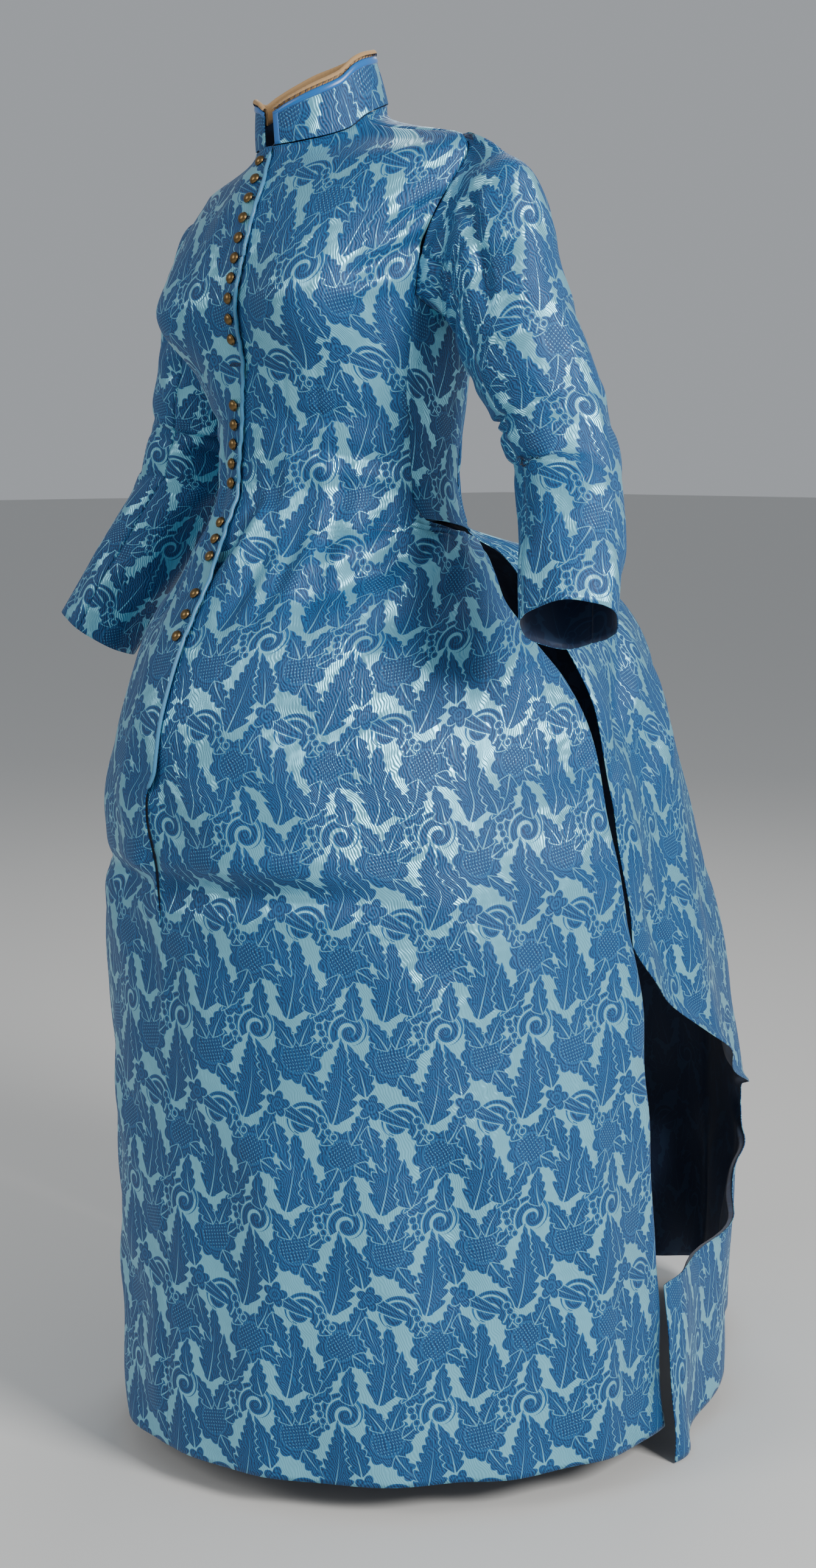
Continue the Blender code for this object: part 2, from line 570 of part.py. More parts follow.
def button(name, place, outward, finish, collection):
    """A domed metal button seated on the cloth."""
    mesh = bpy.data.meshes.new(name)
    shape = bmesh.new()
    profile = [(0.0, BUTTON_RISE), (0.52, 0.84 * BUTTON_RISE), (0.90, 0.46 * BUTTON_RISE),
               (1.0, 0.10 * BUTTON_RISE), (0.86, 0.0)]
    sides = 8
    rings = []
    for part, level in profile[1:]:
        radius = part * BUTTON_RADIUS
        rings.append([shape.verts.new((radius * math.cos(2 * math.pi * k / sides),
                                       radius * math.sin(2 * math.pi * k / sides), level))
                      for k in range(sides)])
    crown = shape.verts.new((0.0, 0.0, BUTTON_RISE))
    for k in range(sides):
        after = (k + 1) % sides
        shape.faces.new((crown, rings[0][k], rings[0][after]))
        for upper, lower in zip(rings, rings[1:]):
            shape.faces.new((upper[k], lower[k], lower[after], upper[after]))
    shape.faces.new(rings[-1][::-1])
    shape.to_mesh(mesh)
    shape.free()
    mesh.materials.append(finish)
    mesh.shade_smooth()
    made = bpy.data.objects.new(name, mesh)
    collection.objects.link(made)
    turn = Vector((0, 0, 1)).rotation_difference(Vector(outward)).to_matrix().to_4x4()
    made.matrix_world = Matrix.Translation(Vector(place)) @ turn
    return made


def build():
    for old in list(bpy.data.objects):
        bpy.data.objects.remove(old, do_unlink=True)
    dress = bpy.data.collections.new("bustle_dress")
    bpy.context.scene.collection.children.link(dress)
    silk = material("figured_silk", SILK_BLUE, 0.45)
    plain = material("plain_silk", PLAIN_BLUE, 0.50)
    lining = material("collar_lining", LINING_TAN, 0.80)
    metal = material("button_metal", BUTTON_METAL, 0.35, 0.9)

    for word, hand in (("left", 1), ("right", -1)):
        cloth_piece(f"front_{word}", *front_grid(hand, FRONT_COLUMNS), silk, dress)
        cloth_piece(f"side_{word}", *side_grid(hand, 6), silk, dress)
        cloth_piece(f"back_{word}", *back_grid(hand, 12, 9), silk, dress)
        upper, under = split_sleeve(*sleeve_grid(18, 24, hand))
        cloth_piece(f"sleeve_upper_{word}", *upper, silk, dress)
        cloth_piece(f"sleeve_under_{word}", *under, silk, dress)
    cloth_piece("back_drape", *drape_grid(30, 36), silk, dress)

    cloth_piece("collar", *collar_band(0.0, STRIP_FROM - 0.015, 30, 0.0), silk, dress)
    cloth_piece("collar_strip", *collar_band(STRIP_FROM, 1.0, 30, 0.0), plain, dress)
    cloth_piece("collar_lining", *collar_band(0.60, LINING_TO, 30, -CLOTH - SEAM_GAP),
                lining, dress, thickness=LINING)
    place_buttons(*front_grid(-1, FRONT_COLUMNS), metal, dress)


def split_sleeve(grid, normals):
    """Upper and under sleeve, parted by the front seam and the back seam."""
    count = grid.shape[1]
    front_seam = round(count * 0.30)
    back_seam = round(count * 0.70)
    halves = []
    for order in (list(range(back_seam, count)) + list(range(0, front_seam + 1)),
                  list(range(front_seam, back_seam + 1))):
        piece = grid[:, order].copy()
        for near, inner in ((0, 1), (-1, -2)):
            piece[:, near] += unit(piece[:, inner] - piece[:, near]) * SEAM_GAP / 2
        halves.append((piece, normals[:, order]))
    return halves


def place_buttons(points, normals, finish, collection):
    """Buttons on the right front, one lap's width in from its edge."""
    number = 0
    edge_height = points[:, 0, 2] + HOLD_HEIGHT
    for count, top, bottom in BUTTON_GROUPS:
        for height in np.linspace(top, bottom, count):
            number += 1
            row = np.interp(height, edge_height, np.arange(len(points)))
            low = min(int(row), len(points) - 2)
            part = row - low
            across = points[low] * (1 - part) + points[low + 1] * part
            facing = normals[low] * (1 - part) + normals[low + 1] * part
            share = min(LAP / np.linalg.norm(across[1] - across[0]), 1.0)
            seat = across[0] + (across[1] - across[0]) * share
            outward = unit(facing[0] + (facing[1] - facing[0]) * share)
            button(f"button_{number:02d}", seat + outward * BUTTON_GAP, outward, finish, collection)


build()
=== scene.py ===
# %% [markdown]
# # A bustle dress in figured silk
# A dress of the 1880s is cut close to the body in long panels and draped over a bustle behind. It
# could be simulated as falling cloth, but a fitted dress holds its shape by its seams. So every cut
# piece is made as a fine thin shell on the form of the imported model, which stays the fixed frame,
# and its creases, seams and trim are laid on one by one. The figured silk is drawn in the shader.

# %% Load the frame
import math
import bpy
import numpy as np
from mathutils import Matrix, Vector


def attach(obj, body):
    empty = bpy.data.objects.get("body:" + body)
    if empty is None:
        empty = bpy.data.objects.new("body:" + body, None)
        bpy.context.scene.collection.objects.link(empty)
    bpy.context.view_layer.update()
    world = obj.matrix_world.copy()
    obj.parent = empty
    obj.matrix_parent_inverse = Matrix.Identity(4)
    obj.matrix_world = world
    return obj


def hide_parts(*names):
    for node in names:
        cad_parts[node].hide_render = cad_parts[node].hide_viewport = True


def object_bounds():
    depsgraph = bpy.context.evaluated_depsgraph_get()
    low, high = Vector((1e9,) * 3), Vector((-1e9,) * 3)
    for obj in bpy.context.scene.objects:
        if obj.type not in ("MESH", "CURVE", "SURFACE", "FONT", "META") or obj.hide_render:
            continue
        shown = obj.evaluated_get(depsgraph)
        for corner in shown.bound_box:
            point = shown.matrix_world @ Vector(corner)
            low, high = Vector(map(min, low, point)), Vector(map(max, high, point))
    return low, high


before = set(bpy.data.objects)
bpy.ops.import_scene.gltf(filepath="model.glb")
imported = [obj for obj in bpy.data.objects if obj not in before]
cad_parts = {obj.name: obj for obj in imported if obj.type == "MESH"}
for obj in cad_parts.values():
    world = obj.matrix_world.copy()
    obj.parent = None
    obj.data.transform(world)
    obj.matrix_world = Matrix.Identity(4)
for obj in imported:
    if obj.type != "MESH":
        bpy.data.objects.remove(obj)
cad_box = [[float(x) for x in corner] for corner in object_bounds()]

# %% [markdown]
# ## The form
# The same tables that shaped the solids shape the cloth here, so both have one form. Heights are
# counted from the hem. A turn is an angle round the body: 0 at centre front, 90 at the wearer's left
# side, 180 at centre back, negative on the wearer's right. A table of a few sections, read along a
# smooth curve, is easier to change than a sculpted mesh.

# %% Driving sizes
HOLD_HEIGHT = 1.14       # from the hem up to the origin between the shoulders
SILK = 0.0011            # thickness of one layer of silk
LAP = 0.012              # how far the right front laps over the centre line
LAP_RISE = 0.0034        # how far its edge stands out over the left front
SLIT_BOTTOM = 0.63
NECK_FRONT, NECK_SIDE = 1.232, 1.2555
SHOULDER_TIP = 1.224
SHOULDER_LEAN, LEAN_REACH = 0.075, 0.17
ARMHOLE_FRONT, ARMHOLE_BACK, ARMHOLE_SCOOP = 1.085, 1.095, 0.021
HIP_CORNER, SIDE_BACK_CORNER = 0.8885, 0.8745
WAIST_SEAM, DRAPE_TURN = 0.883, 133.0
NECK_RADIUS, NECK_DEPTH, NECK_CENTRE = 0.0625, 0.0635, 0.0225
SLOPE_FROM = 1.150
BUTTON_RADIUS, BUTTON_RISE = 0.0055, 0.0042

# %% Sections of the bodice and front skirt
BODY = ("height half_left half_right centre_y front back squareness", (
    (0.000, 0.306, 0.264, 0.140, 0.322, 0.250, 2.0),
    (0.150, 0.302, 0.272, 0.140, 0.320, 0.240, 2.0),
    (0.290, 0.297, 0.290, 0.140, 0.318, 0.230, 2.0),
    (0.470, 0.292, 0.302, 0.140, 0.319, 0.220, 2.0),
    (0.560, 0.285, 0.288, 0.140, 0.322, 0.210, 2.0),
    (0.620, 0.268, 0.262, 0.140, 0.333, 0.205, 2.0),
    (0.690, 0.250, 0.233, 0.132, 0.318, 0.200, 2.0),
    (0.740, 0.226, 0.210, 0.105, 0.276, 0.195, 2.0),
    (0.780, 0.198, 0.187, 0.070, 0.223, 0.188, 2.0),
    (0.818, 0.166, 0.160, 0.046, 0.174, 0.172, 2.0),
    (0.852, 0.144, 0.140, 0.043, 0.149, 0.155, 2.0),
    (0.883, 0.124, 0.122, 0.043, 0.130, 0.124, 2.0),
    (0.920, 0.117, 0.117, 0.043, 0.114, 0.117, 2.0),
    (0.970, 0.124, 0.124, 0.043, 0.115, 0.117, 2.0),
    (1.020, 0.139, 0.139, 0.037, 0.118, 0.119, 2.1),
    (1.065, 0.151, 0.151, 0.037, 0.128, 0.114, 2.2),
    (1.095, 0.159, 0.159, 0.040, 0.136, 0.108, 2.3),
    (1.130, 0.168, 0.168, 0.044, 0.134, 0.102, 2.3),
    (1.170, 0.176, 0.176, 0.047, 0.123, 0.096, 2.1),
    (1.204, 0.176, 0.176, 0.050, 0.106, 0.089, 1.8),
    (1.224, 0.166, 0.166, 0.048, 0.094, 0.081, 1.6),
    (1.231, 0.150, 0.150, 0.044, 0.088, 0.075, 1.5),
    (1.242, 0.121, 0.121, 0.038, 0.081, 0.069, 1.4),
    (1.254, 0.089, 0.089, 0.030, 0.073, 0.063, 1.5),
    (1.264, 0.064, 0.064, 0.024, 0.066, 0.060, 1.8),
    (1.290, 0.058, 0.058, 0.020, 0.060, 0.056, 2.0),
))
FRONT_REACH = ("height turn", (
    (0.000, 106.0), (0.150, 104.0), (0.290, 101.0), (0.470, 95.5), (0.520, 92.5), (0.620, 91.0),
    (0.690, 91.5), (0.740, 97.0), (0.780, 104.0), (0.810, 112.0), (0.840, 121.0), (0.862, 128.0),
    (0.872, 121.0), (0.884, 96.0), (0.893, 86.5), (0.920, 85.0), (1.020, 77.0), (1.085, 77.0),
    (1.110, 75.5), (1.140, 76.0), (1.170, 79.0), (1.204, 86.0), (1.224, 92.0), (1.290, 92.0),
))
BACK_REACH = ("height turn", (
    (0.860, 131.0), (0.920, 129.0), (1.000, 124.0), (1.095, 117.0), (1.130, 112.5),
    (1.170, 107.0), (1.204, 99.0), (1.224, 92.0), (1.290, 92.0),
))
CLOSURE = ("height turn", (
    (0.000, 0.0), (0.780, -0.5), (0.818, -2.0), (0.852, -5.0), (0.883, -9.0), (0.920, -11.0),
    (0.970, -7.0), (1.020, -1.0), (1.060, 2.0), (1.100, 3.0), (1.190, 3.0), (1.225, 0.0),
    (1.240, 0.0),
))

# %% The drape, the sleeves and the collar
DRAPE = ("height edge_x edge_y flank_x flank_share corner_x back_y", (
    (-0.040, 0.314, 0.200, 0.292, 0.29, 0.060, 0.598),
    (0.100, 0.306, 0.200, 0.282, 0.31, 0.074, 0.600),
    (0.250, 0.284, 0.202, 0.256, 0.38, 0.122, 0.590),
    (0.400, 0.268, 0.192, 0.246, 0.42, 0.128, 0.548),
    (0.520, 0.260, 0.182, 0.242, 0.42, 0.132, 0.496),
    (0.620, 0.248, 0.172, 0.236, 0.42, 0.130, 0.457),
    (0.700, 0.232, 0.162, 0.226, 0.42, 0.130, 0.428),
    (0.750, 0.208, 0.156, 0.210, 0.42, 0.126, 0.410),
    (0.800, 0.168, 0.152, 0.180, 0.42, 0.116, 0.370),
    (0.835, 0.136, 0.150, 0.148, 0.42, 0.102, 0.296),
    (0.862, 0.112, 0.144, 0.116, 0.42, 0.088, 0.214),
    (0.8825, 0.096, 0.126, 0.090, 0.42, 0.064, 0.168),
))
NOTCH = ("height share", (
    (-0.050, 0.0), (0.146, 0.0), (0.150, 0.06), (0.155, 0.22), (0.165, 0.40), (0.178, 0.52),
    (0.190, 0.62), (0.205, 0.69), (0.225, 0.72), (0.245, 0.70), (0.262, 0.62), (0.299, 0.48),
    (0.339, 0.35), (0.377, 0.24), (0.425, 0.10), (0.470, 0.015), (0.482, 0.0), (0.900, 0.0),
))
ARM = ("step outer_x outer_height inner_x inner_height y depth", (
    (0.00, 0.166, 1.224, 0.151, 1.066, 0.048, 0.043),
    (0.08, 0.200, 1.214, 0.155, 1.061, 0.049, 0.046),
    (0.17, 0.231, 1.198, 0.161, 1.054, 0.051, 0.049),
    (0.26, 0.250, 1.169, 0.169, 1.044, 0.052, 0.051),
    (0.38, 0.268, 1.116, 0.181, 1.026, 0.053, 0.051),
    (0.50, 0.291, 1.056, 0.197, 1.002, 0.056, 0.051),
    (0.62, 0.314, 1.001, 0.218, 0.968, 0.061, 0.050),
    (0.73, 0.334, 0.951, 0.238, 0.934, 0.061, 0.049),
    (0.84, 0.358, 0.902, 0.266, 0.884, 0.042, 0.047),
    (0.93, 0.377, 0.858, 0.291, 0.832, 0.018, 0.045),
    (1.00, 0.390, 0.822, 0.311, 0.784, 0.000, 0.043),
))
RIGHT_ARM = ("step closer drop", (
    (0.00, 0.0, 0.0), (0.26, 0.004, 0.0), (0.50, 0.016, 0.006), (0.70, 0.020, 0.016),
    (0.86, 0.010, 0.034), (1.00, 0.000, 0.046),
))
NECK = ("turn height", (
    (0.0, NECK_FRONT), (20.0, NECK_FRONT), (46.0, 1.2345), (72.0, 1.2420), (90.0, NECK_SIDE),
    (110.0, 1.2650), (138.0, 1.2730), (180.0, 1.2760),
))
COLLAR = ("turn stand", (
    (-180.0, 0.046), (-130.0, 0.038), (-90.0, 0.033), (-60.0, 0.040), (-40.0, 0.044),
    (-20.0, 0.040), (0.0, 0.030), (25.0, 0.038), (58.0, 0.046), (90.0, 0.048), (130.0, 0.045),
    (180.0, 0.046),
))
BUTTON_GROUPS = ((10, 1.219, 1.054), (5, 0.994, 0.921), (3, 0.884, 0.853), (3, 0.819, 0.781))
PLEATS, PLEAT_DEPTH_TOP, PLEAT_DEPTH, CORNER_DROP = 3, 0.004, 0.008, 0.030
BUST = {"turn": 31.0, "height": 1.072, "rise": 0.026, "spread": 21.0, "above": 0.060, "below": 0.040}


# %% Read a table along a smooth curve
def read(table, name, at):
    """A column of a table at any place, along a smooth curve that never overshoots its rows."""
    columns = table[0].split()
    x = np.array([row[0] for row in table[1]])
    y = np.array([row[columns.index(name)] for row in table[1]])
    step = np.diff(x)
    slope = np.diff(y) / step
    tangent = np.zeros(len(x))
    tangent[0], tangent[-1] = slope[0], slope[-1]
    for i in range(1, len(x) - 1):
        if slope[i - 1] * slope[i] > 0:
            before, after = 2 * step[i] + step[i - 1], step[i] + 2 * step[i - 1]
            tangent[i] = (before + after) / (before / slope[i - 1] + after / slope[i])
    at = np.clip(np.asarray(at, float), x[0], x[-1])
    k = np.clip(np.searchsorted(x, at, side="right") - 1, 0, len(x) - 2)
    t = (at - x[k]) / step[k]
    return (y[k] * (2 * t**3 - 3 * t**2 + 1) + y[k + 1] * (3 * t**2 - 2 * t**3)
            + step[k] * (tangent[k] * (t**3 - 2 * t**2 + t) + tangent[k + 1] * (t**3 - t**2)))


def ease(value, start, end):
    """Smooth step from 0 at start to 1 at end."""
    t = np.clip((np.asarray(value, float) - start) / (end - start), 0.0, 1.0)
    return t * t * (3 - 2 * t)


def unit(vectors):
    return vectors / np.maximum(np.linalg.norm(vectors, axis=-1, keepdims=True), 1e-12)


# %% [markdown]
# ## Creases
# Worn silk creases where the body bends and pulls. A cloth simulation would put its creases where
# it likes, so each main crease is a soft trough or ridge laid along a line on the cloth, in turns
# and heights on the body, or in shares and heights on the drape. Hidden sides get like ones.

# %% Creases of the bodice and skirt
# from (turn, height) to (turn, height), then width and depth in metres, negative for a trough
BODY_CREASES = (
    (40, 0.822, 88, 0.868, 0.012, -0.006), (36, 0.842, 84, 0.884, 0.013, 0.004),
    (58, 0.790, 96, 0.835, 0.014, -0.005), (-40, 0.822, -88, 0.868, 0.012, -0.005),
    (8, 0.905, -2, 0.842, 0.009, -0.004), (15, 0.900, 6, 0.835, 0.009, 0.003),
    (27, 0.895, 14, 0.800, 0.010, -0.004), (36, 0.890, 24, 0.800, 0.010, -0.003),
    (48, 0.886, 38, 0.790, 0.012, -0.003), (-28, 0.890, -22, 0.800, 0.010, -0.004),
    (-46, 0.886, -42, 0.790, 0.012, -0.003),
    (-12, 0.545, 42, 0.552, 0.013, -0.007), (-14, 0.572, 36, 0.580, 0.016, 0.005),
    (-60, 0.560, -8, 0.548, 0.013, -0.005), (30, 0.700, 62, 0.735, 0.018, -0.004),
    (30, 0.955, 76, 0.940, 0.007, -0.0022), (34, 0.935, 78, 0.925, 0.007, 0.0018),
    (20, 0.975, 60, 0.985, 0.008, -0.0018), (-30, 0.955, -76, 0.940, 0.007, -0.0022),
    (-20, 0.975, -60, 0.985, 0.008, -0.0018),
    (50, 1.100, 76, 1.128, 0.008, -0.004), (46, 1.085, 74, 1.100, 0.008, 0.002),
    (60, 1.135, 77, 1.165, 0.008, -0.004), (-50, 1.100, -76, 1.128, 0.008, -0.004),
    (-60, 1.135, -77, 1.165, 0.008, -0.004),
    (55, 0.300, 58, 0.010, 0.030, -0.006), (80, 0.380, 84, 0.010, 0.028, 0.006),
    (24, 0.360, 22, 0.010, 0.034, 0.004), (-30, 0.420, -34, 0.010, 0.030, -0.005),
    (-62, 0.400, -66, 0.010, 0.028, 0.005),
)
WORN = 1.5               # how much deeper than the tables the creases of this dress lie
BUST_DARTS = ((19, 0.905, 24, 1.040), (38, 0.900, 37, 1.040))
DART_WIDTH, DART_DEPTH = 0.0022, 0.0012


def along_line(a, b, start, end, scale_a, scale_b):
    """Distance from a line on the cloth, and the share of the way along it."""
    line_a, line_b = (end[0] - start[0]) * scale_a, (end[1] - start[1]) * scale_b
    at_a, at_b = (a - start[0]) * scale_a, (b - start[1]) * scale_b
    size = np.hypot(line_a, line_b)
    share = (at_a * line_a + at_b * line_b) / size**2
    return np.abs(at_a * line_b - at_b * line_a) / size, share


def creases(table, a, b, scale_a, scale_b=1.0):
    """The sum of a table's creases at places (a, b) of the cloth."""
    out = 0.0
    for a0, b0, a1, b1, width, depth in table:
        away, share = along_line(a, b, (a0, b0), (a1, b1), scale_a, scale_b)
        fade = ease(share, -0.25, 0.20) * ease(share, 1.25, 0.80)
        out = out + depth * np.exp(-(away / width) ** 2) * fade
    return out


def slack(a, b, size, depth):
    """The slight unevenness of cloth that has been worn and stored."""
    p, q = a / size, b / size
    return depth * (np.sin(p * 2.1 + 1.3 * np.sin(q * 1.7)) * np.sin(q * 1.3 + 0.9 * np.sin(p * 1.1))
                    + 0.5 * np.sin(p * 4.3 + 2.0 * q + np.sin(q * 2.9)))


# %% Points of the worn form
def neck_height(turn):
    return read(NECK, "height", np.abs(turn))


def neck_ring(turn):
    angle = np.radians(turn)
    return NECK_RADIUS * np.sin(angle), NECK_CENTRE - NECK_DEPTH * np.cos(angle)


def to_world(points):
    """Table points to the dress as worn: leaning at the shoulders, counted from the hold."""
    points = np.asarray(points, float)
    width = np.clip(points[..., 0], -LEAN_REACH, LEAN_REACH)
    lean = SHOULDER_LEAN * width * ease(points[..., 2], 0.95, 1.18)
    return points + np.stack([0 * lean, 0 * lean, lean - HOLD_HEIGHT], -1)


def bust_rise(turn, height):
    spread = (np.abs(turn) - BUST["turn"]) / BUST["spread"]
    off = height - BUST["height"]
    rise = off / np.where(off > 0, BUST["above"], BUST["below"])
    return BUST["rise"] * np.exp(-spread**2 - rise**2)


def body_point(turn, height):
    """A point of the cloth's outer face on the bodice or front skirt."""
    turn, height = np.broadcast_arrays(np.asarray(turn, float), np.asarray(height, float))
    power = 2.0 / read(BODY, "squareness", height)
    s, c = np.sin(np.radians(turn)), np.cos(np.radians(turn))
    half = np.where(turn < 0, read(BODY, "half_right", height), read(BODY, "half_left", height))
    reach = np.where(c > 0, read(BODY, "front", height), read(BODY, "back", height))
    relief = bust_rise(turn, height)
    x = (half + relief) * np.sign(s) * np.abs(s) ** power
    y = read(BODY, "centre_y", height) - (reach + relief) * np.sign(c) * np.abs(c) ** power
    blend = ease(height, neck_height(turn) - 0.030, neck_height(turn))
    ring_x, ring_y = neck_ring(turn)
    return np.stack([x + (ring_x - x) * blend, y + (ring_y - y) * blend, height], -1)


def on_body(turn, height, lift=0.0):
    """Points of the bodice or front skirt with their outward normals, raised by lift."""
    turn, height = np.broadcast_arrays(np.asarray(turn, float), np.asarray(height, float))
    left = to_world(body_point(turn + 0.5, height)) - to_world(body_point(turn - 0.5, height))
    up = to_world(body_point(turn, height + 0.002)) - to_world(body_point(turn, height - 0.002))
    normals = unit(np.cross(left, up))
    return to_world(body_point(turn, height)) + normals * np.asarray(lift)[..., None], normals


print("bust line stands at", to_world(body_point(BUST["turn"], BUST["height"])).round(3))

# %% [markdown]
# ## Shells
# Cloth has two faces and a cut edge. A Solidify modifier would do for a plain sheet, but the
# reverse of this silk is another colour, so a shell is built: a fine grid of points on the
# outer face, the same grid moved inwards, and a narrow rim between them. Its UVs are metres of
# cloth, so the figured silk runs at its real size on every piece.

# %% Build a shell
pieces = {}


def spread(count, edge=0.006):
    """Shares along a piece, with a few close rows at both edges for the turned seam."""
    close = np.array([0.0, 0.5, 1.0, 2.0]) * edge
    return np.concatenate([close, np.linspace(3 * edge, 1 - 3 * edge, count), 1 - close[::-1]])


def cloth_lengths(points, middle):
    """UVs in metres: across from a middle column, and up along that column."""
    step = np.linalg.norm(np.diff(points, axis=1), axis=-1)
    across = np.concatenate([np.zeros((len(points), 1)), np.cumsum(step, axis=1)], axis=1)
    across = across - across[:, middle][:, None]
    rise = np.linalg.norm(np.diff(points[:, middle], axis=0), axis=-1)
    up = np.concatenate([[0], np.cumsum(rise)])
    return np.stack([across, np.broadcast_to(up[:, None], across.shape)], -1)


def sink_edges(points, normals, depth=0.0012, width=0.0022, sides=(0, -1)):
    """Turn a piece's side edges in a little, as a pressed seam does."""
    for side in sides:
        away = np.linalg.norm(points - points[:, side][:, None], axis=-1)
        points = points - normals * (depth * np.exp(-(away / width) ** 2))[..., None]
    return points


def shell(name, points, normals, uvs, nodes=(), thickness=SILK):
    """A thin closed wall from a grid of points, its outer face in slot 0 and its reverse in 1."""
    rows, columns = points.shape[:2]
    count = rows * columns
    inner = points - normals * thickness
    index = np.arange(count).reshape(rows, columns)
    cell = np.stack([index[:-1, :-1], index[:-1, 1:], index[1:, 1:], index[1:, :-1]], -1)
    cell = cell.reshape(-1, 4)
    seen = np.cross(points[1, 0] - points[0, 0], points[0, 1] - points[0, 0]) @ normals[0, 0]
    rim = np.concatenate([index[0], index[1:, -1], index[-1, -2::-1], index[-2:0:-1, 0]])
    after = np.roll(rim, -1)
    wall = np.stack([after, rim, rim + count, after + count], -1)
    faces = np.concatenate([cell, cell[:, ::-1] + count, wall])
    if seen > 0:
        faces = faces[:, ::-1]
    mesh = bpy.data.meshes.new(name)
    mesh.vertices.add(2 * count)
    mesh.vertices.foreach_set("co", np.concatenate([points, inner]).reshape(-1))
    mesh.loops.add(faces.size)
    mesh.loops.foreach_set("vertex_index", faces.reshape(-1))
    mesh.polygons.add(len(faces))
    mesh.polygons.foreach_set("loop_start", np.arange(len(faces)) * 4)
    mesh.polygons.foreach_set("material_index", np.repeat([0, 1, 0],
                                                          [len(cell), len(cell), len(wall)]))
    mesh.update(calc_edges=True)
    cloth = mesh.uv_layers.new(name="cloth")
    flat = np.concatenate([uvs.reshape(-1, 2)] * 2)[faces.reshape(-1)]
    cloth.data.foreach_set("uv", flat.reshape(-1).astype(float))
    mesh.shade_smooth()
    piece = bpy.data.objects.new(name, mesh)
    bpy.context.collection.objects.link(piece)
    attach(piece, "root")
    for node in nodes:
        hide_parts(node)
    pieces[name] = piece


# %% [markdown]
# ## Fronts
# Each front is cut in one from shoulder to hem and shaped by two darts under the bust. The darts
# could be cut and sewn, but from outside only their fine line shows, so they are narrow troughs.
# The right front laps over the left down to the end of the slit.

# %% Rows and edges of the fronts
def level(base, turn):
    """Height of a row at a turn: rows above the armholes follow the slope of the neckline."""
    rise = (neck_height(turn) - SLOPE_FROM) / (NECK_SIDE - SLOPE_FROM)
    return np.where(base > SLOPE_FROM, SLOPE_FROM + (base - SLOPE_FROM) * rise, base)


def body_relief(turn, height):
    """Creases, darts and slack of the bodice and front skirt."""
    metres = math.pi / 180 * 0.5 * (read(BODY, "half_left", height) + read(BODY, "front", height))
    out = WORN * creases(BODY_CREASES, turn, height, metres)
    for start_turn, low, end_turn, high in BUST_DARTS:
        away, share = along_line(np.abs(turn), height, (start_turn, low), (end_turn, high), metres, 1.0)
        fade = ease(share, 0.0, 0.06) * ease(share, 1.0, 0.90)
        out = out - DART_DEPTH * np.exp(-(away / DART_WIDTH) ** 2) * fade
    skirt = ease(height, 0.80, 0.55)
    out = out + slack(turn * metres, height, 0.075, 0.0026) * (0.35 + 0.65 * skirt)
    pulled = np.exp(-((height - 0.885) / 0.055) ** 2) * ease(np.abs(turn), 4, 16)
    out = out + pulled * 0.0022 * np.sin(turn * metres * 2 * math.pi / 0.034 + height * 26)
    puckers = 0.00056 * np.sin(height * 2 * math.pi / 0.021) * ease(height, 0.90, 0.94)
    beside_dart = np.exp(-((np.abs(turn) - 30) / 9.0) ** 2) * ease(height, 1.06, 1.0)
    return out + puckers * beside_dart


def front(side, word):
    """A front: side is 1 for the wearer's left and -1 for the right."""
    share = spread(84)[None, :]
    base = np.concatenate([np.linspace(0.0, 0.86, 170)[:-1], np.linspace(0.86, NECK_SIDE, 90)])[:, None]
    height = base * np.ones_like(share)
    for _ in range(3):
        lapped = ease(height, SLIT_BOTTOM, SLIT_BOTTOM + 0.03)
        half = read(BODY, "half_right", height)
        start = read(CLOSURE, "turn", height) - side * np.degrees(LAP / half) * lapped
        turn = start + (side * read(FRONT_REACH, "turn", height) - start) * share
        height = level(base, turn)
    distance = np.abs(np.radians(start - turn) * half)
    lift = body_relief(turn, height) * ease(distance, 0.0, 0.02)
    if side < 0:
        over = ease(height, SLIT_BOTTOM - 0.14, SLIT_BOTTOM - 0.07)
        lift = lift + LAP_RISE * over * (1 - ease(distance, 3.4 * LAP, 6.0 * LAP))
        pulls = 0.0007 * np.cos(height * 2 * math.pi / 0.0183) * ease(height, 0.78, 0.80)
        lift = lift + pulls * np.exp(-(distance / 0.006) ** 2)
    points, normals = on_body(turn, height, lift)
    uvs = cloth_lengths(points, 0)
    points = sink_edges(points, normals, sides=(-1,))
    if side < 0:
        uvs[..., 0] *= -1
    shell(f"silk_front_{word}", points, normals, uvs, [f"front_{word}"])
    return points, normals


front(1, "left")
right_points, right_normals = front(-1, "right")
print("fronts:", len(pieces["silk_front_left"].data.polygons), "faces each")


# %% [markdown]
# ## Sides and backs
# A narrow piece under the arm and a back on each side close the bodice. They end at the waist seam,
# where the drape is sewn on, and they share their edges' places with the fronts.

# %% Under-arm pieces and backs
def underarm(share):
    """Height of the armhole's lower curve, from the front's edge to the back's."""
    return (ARMHOLE_FRONT + (ARMHOLE_BACK - ARMHOLE_FRONT) * share
            - ARMHOLE_SCOOP * 4 * share * (1 - share))


def side_piece(side, word):
    share = spread(14)[None, :]
    rise = spread(44)[:, None]
    low = HIP_CORNER + (SIDE_BACK_CORNER - HIP_CORNER) * share
    height = low + (underarm(share) - low) * rise
    start = read(FRONT_REACH, "turn", height)
    turn = side * (start + (read(BACK_REACH, "turn", height) - start) * share)
    points, normals = on_body(turn, height, slack(turn * 0.002, height, 0.02, 0.0006))
    uvs = cloth_lengths(points, 0) * [side, 1] + [0.41 * side, 0.93]
    shell(f"silk_side_{word}", sink_edges(points, normals), normals, uvs, [f"side_{word}"])


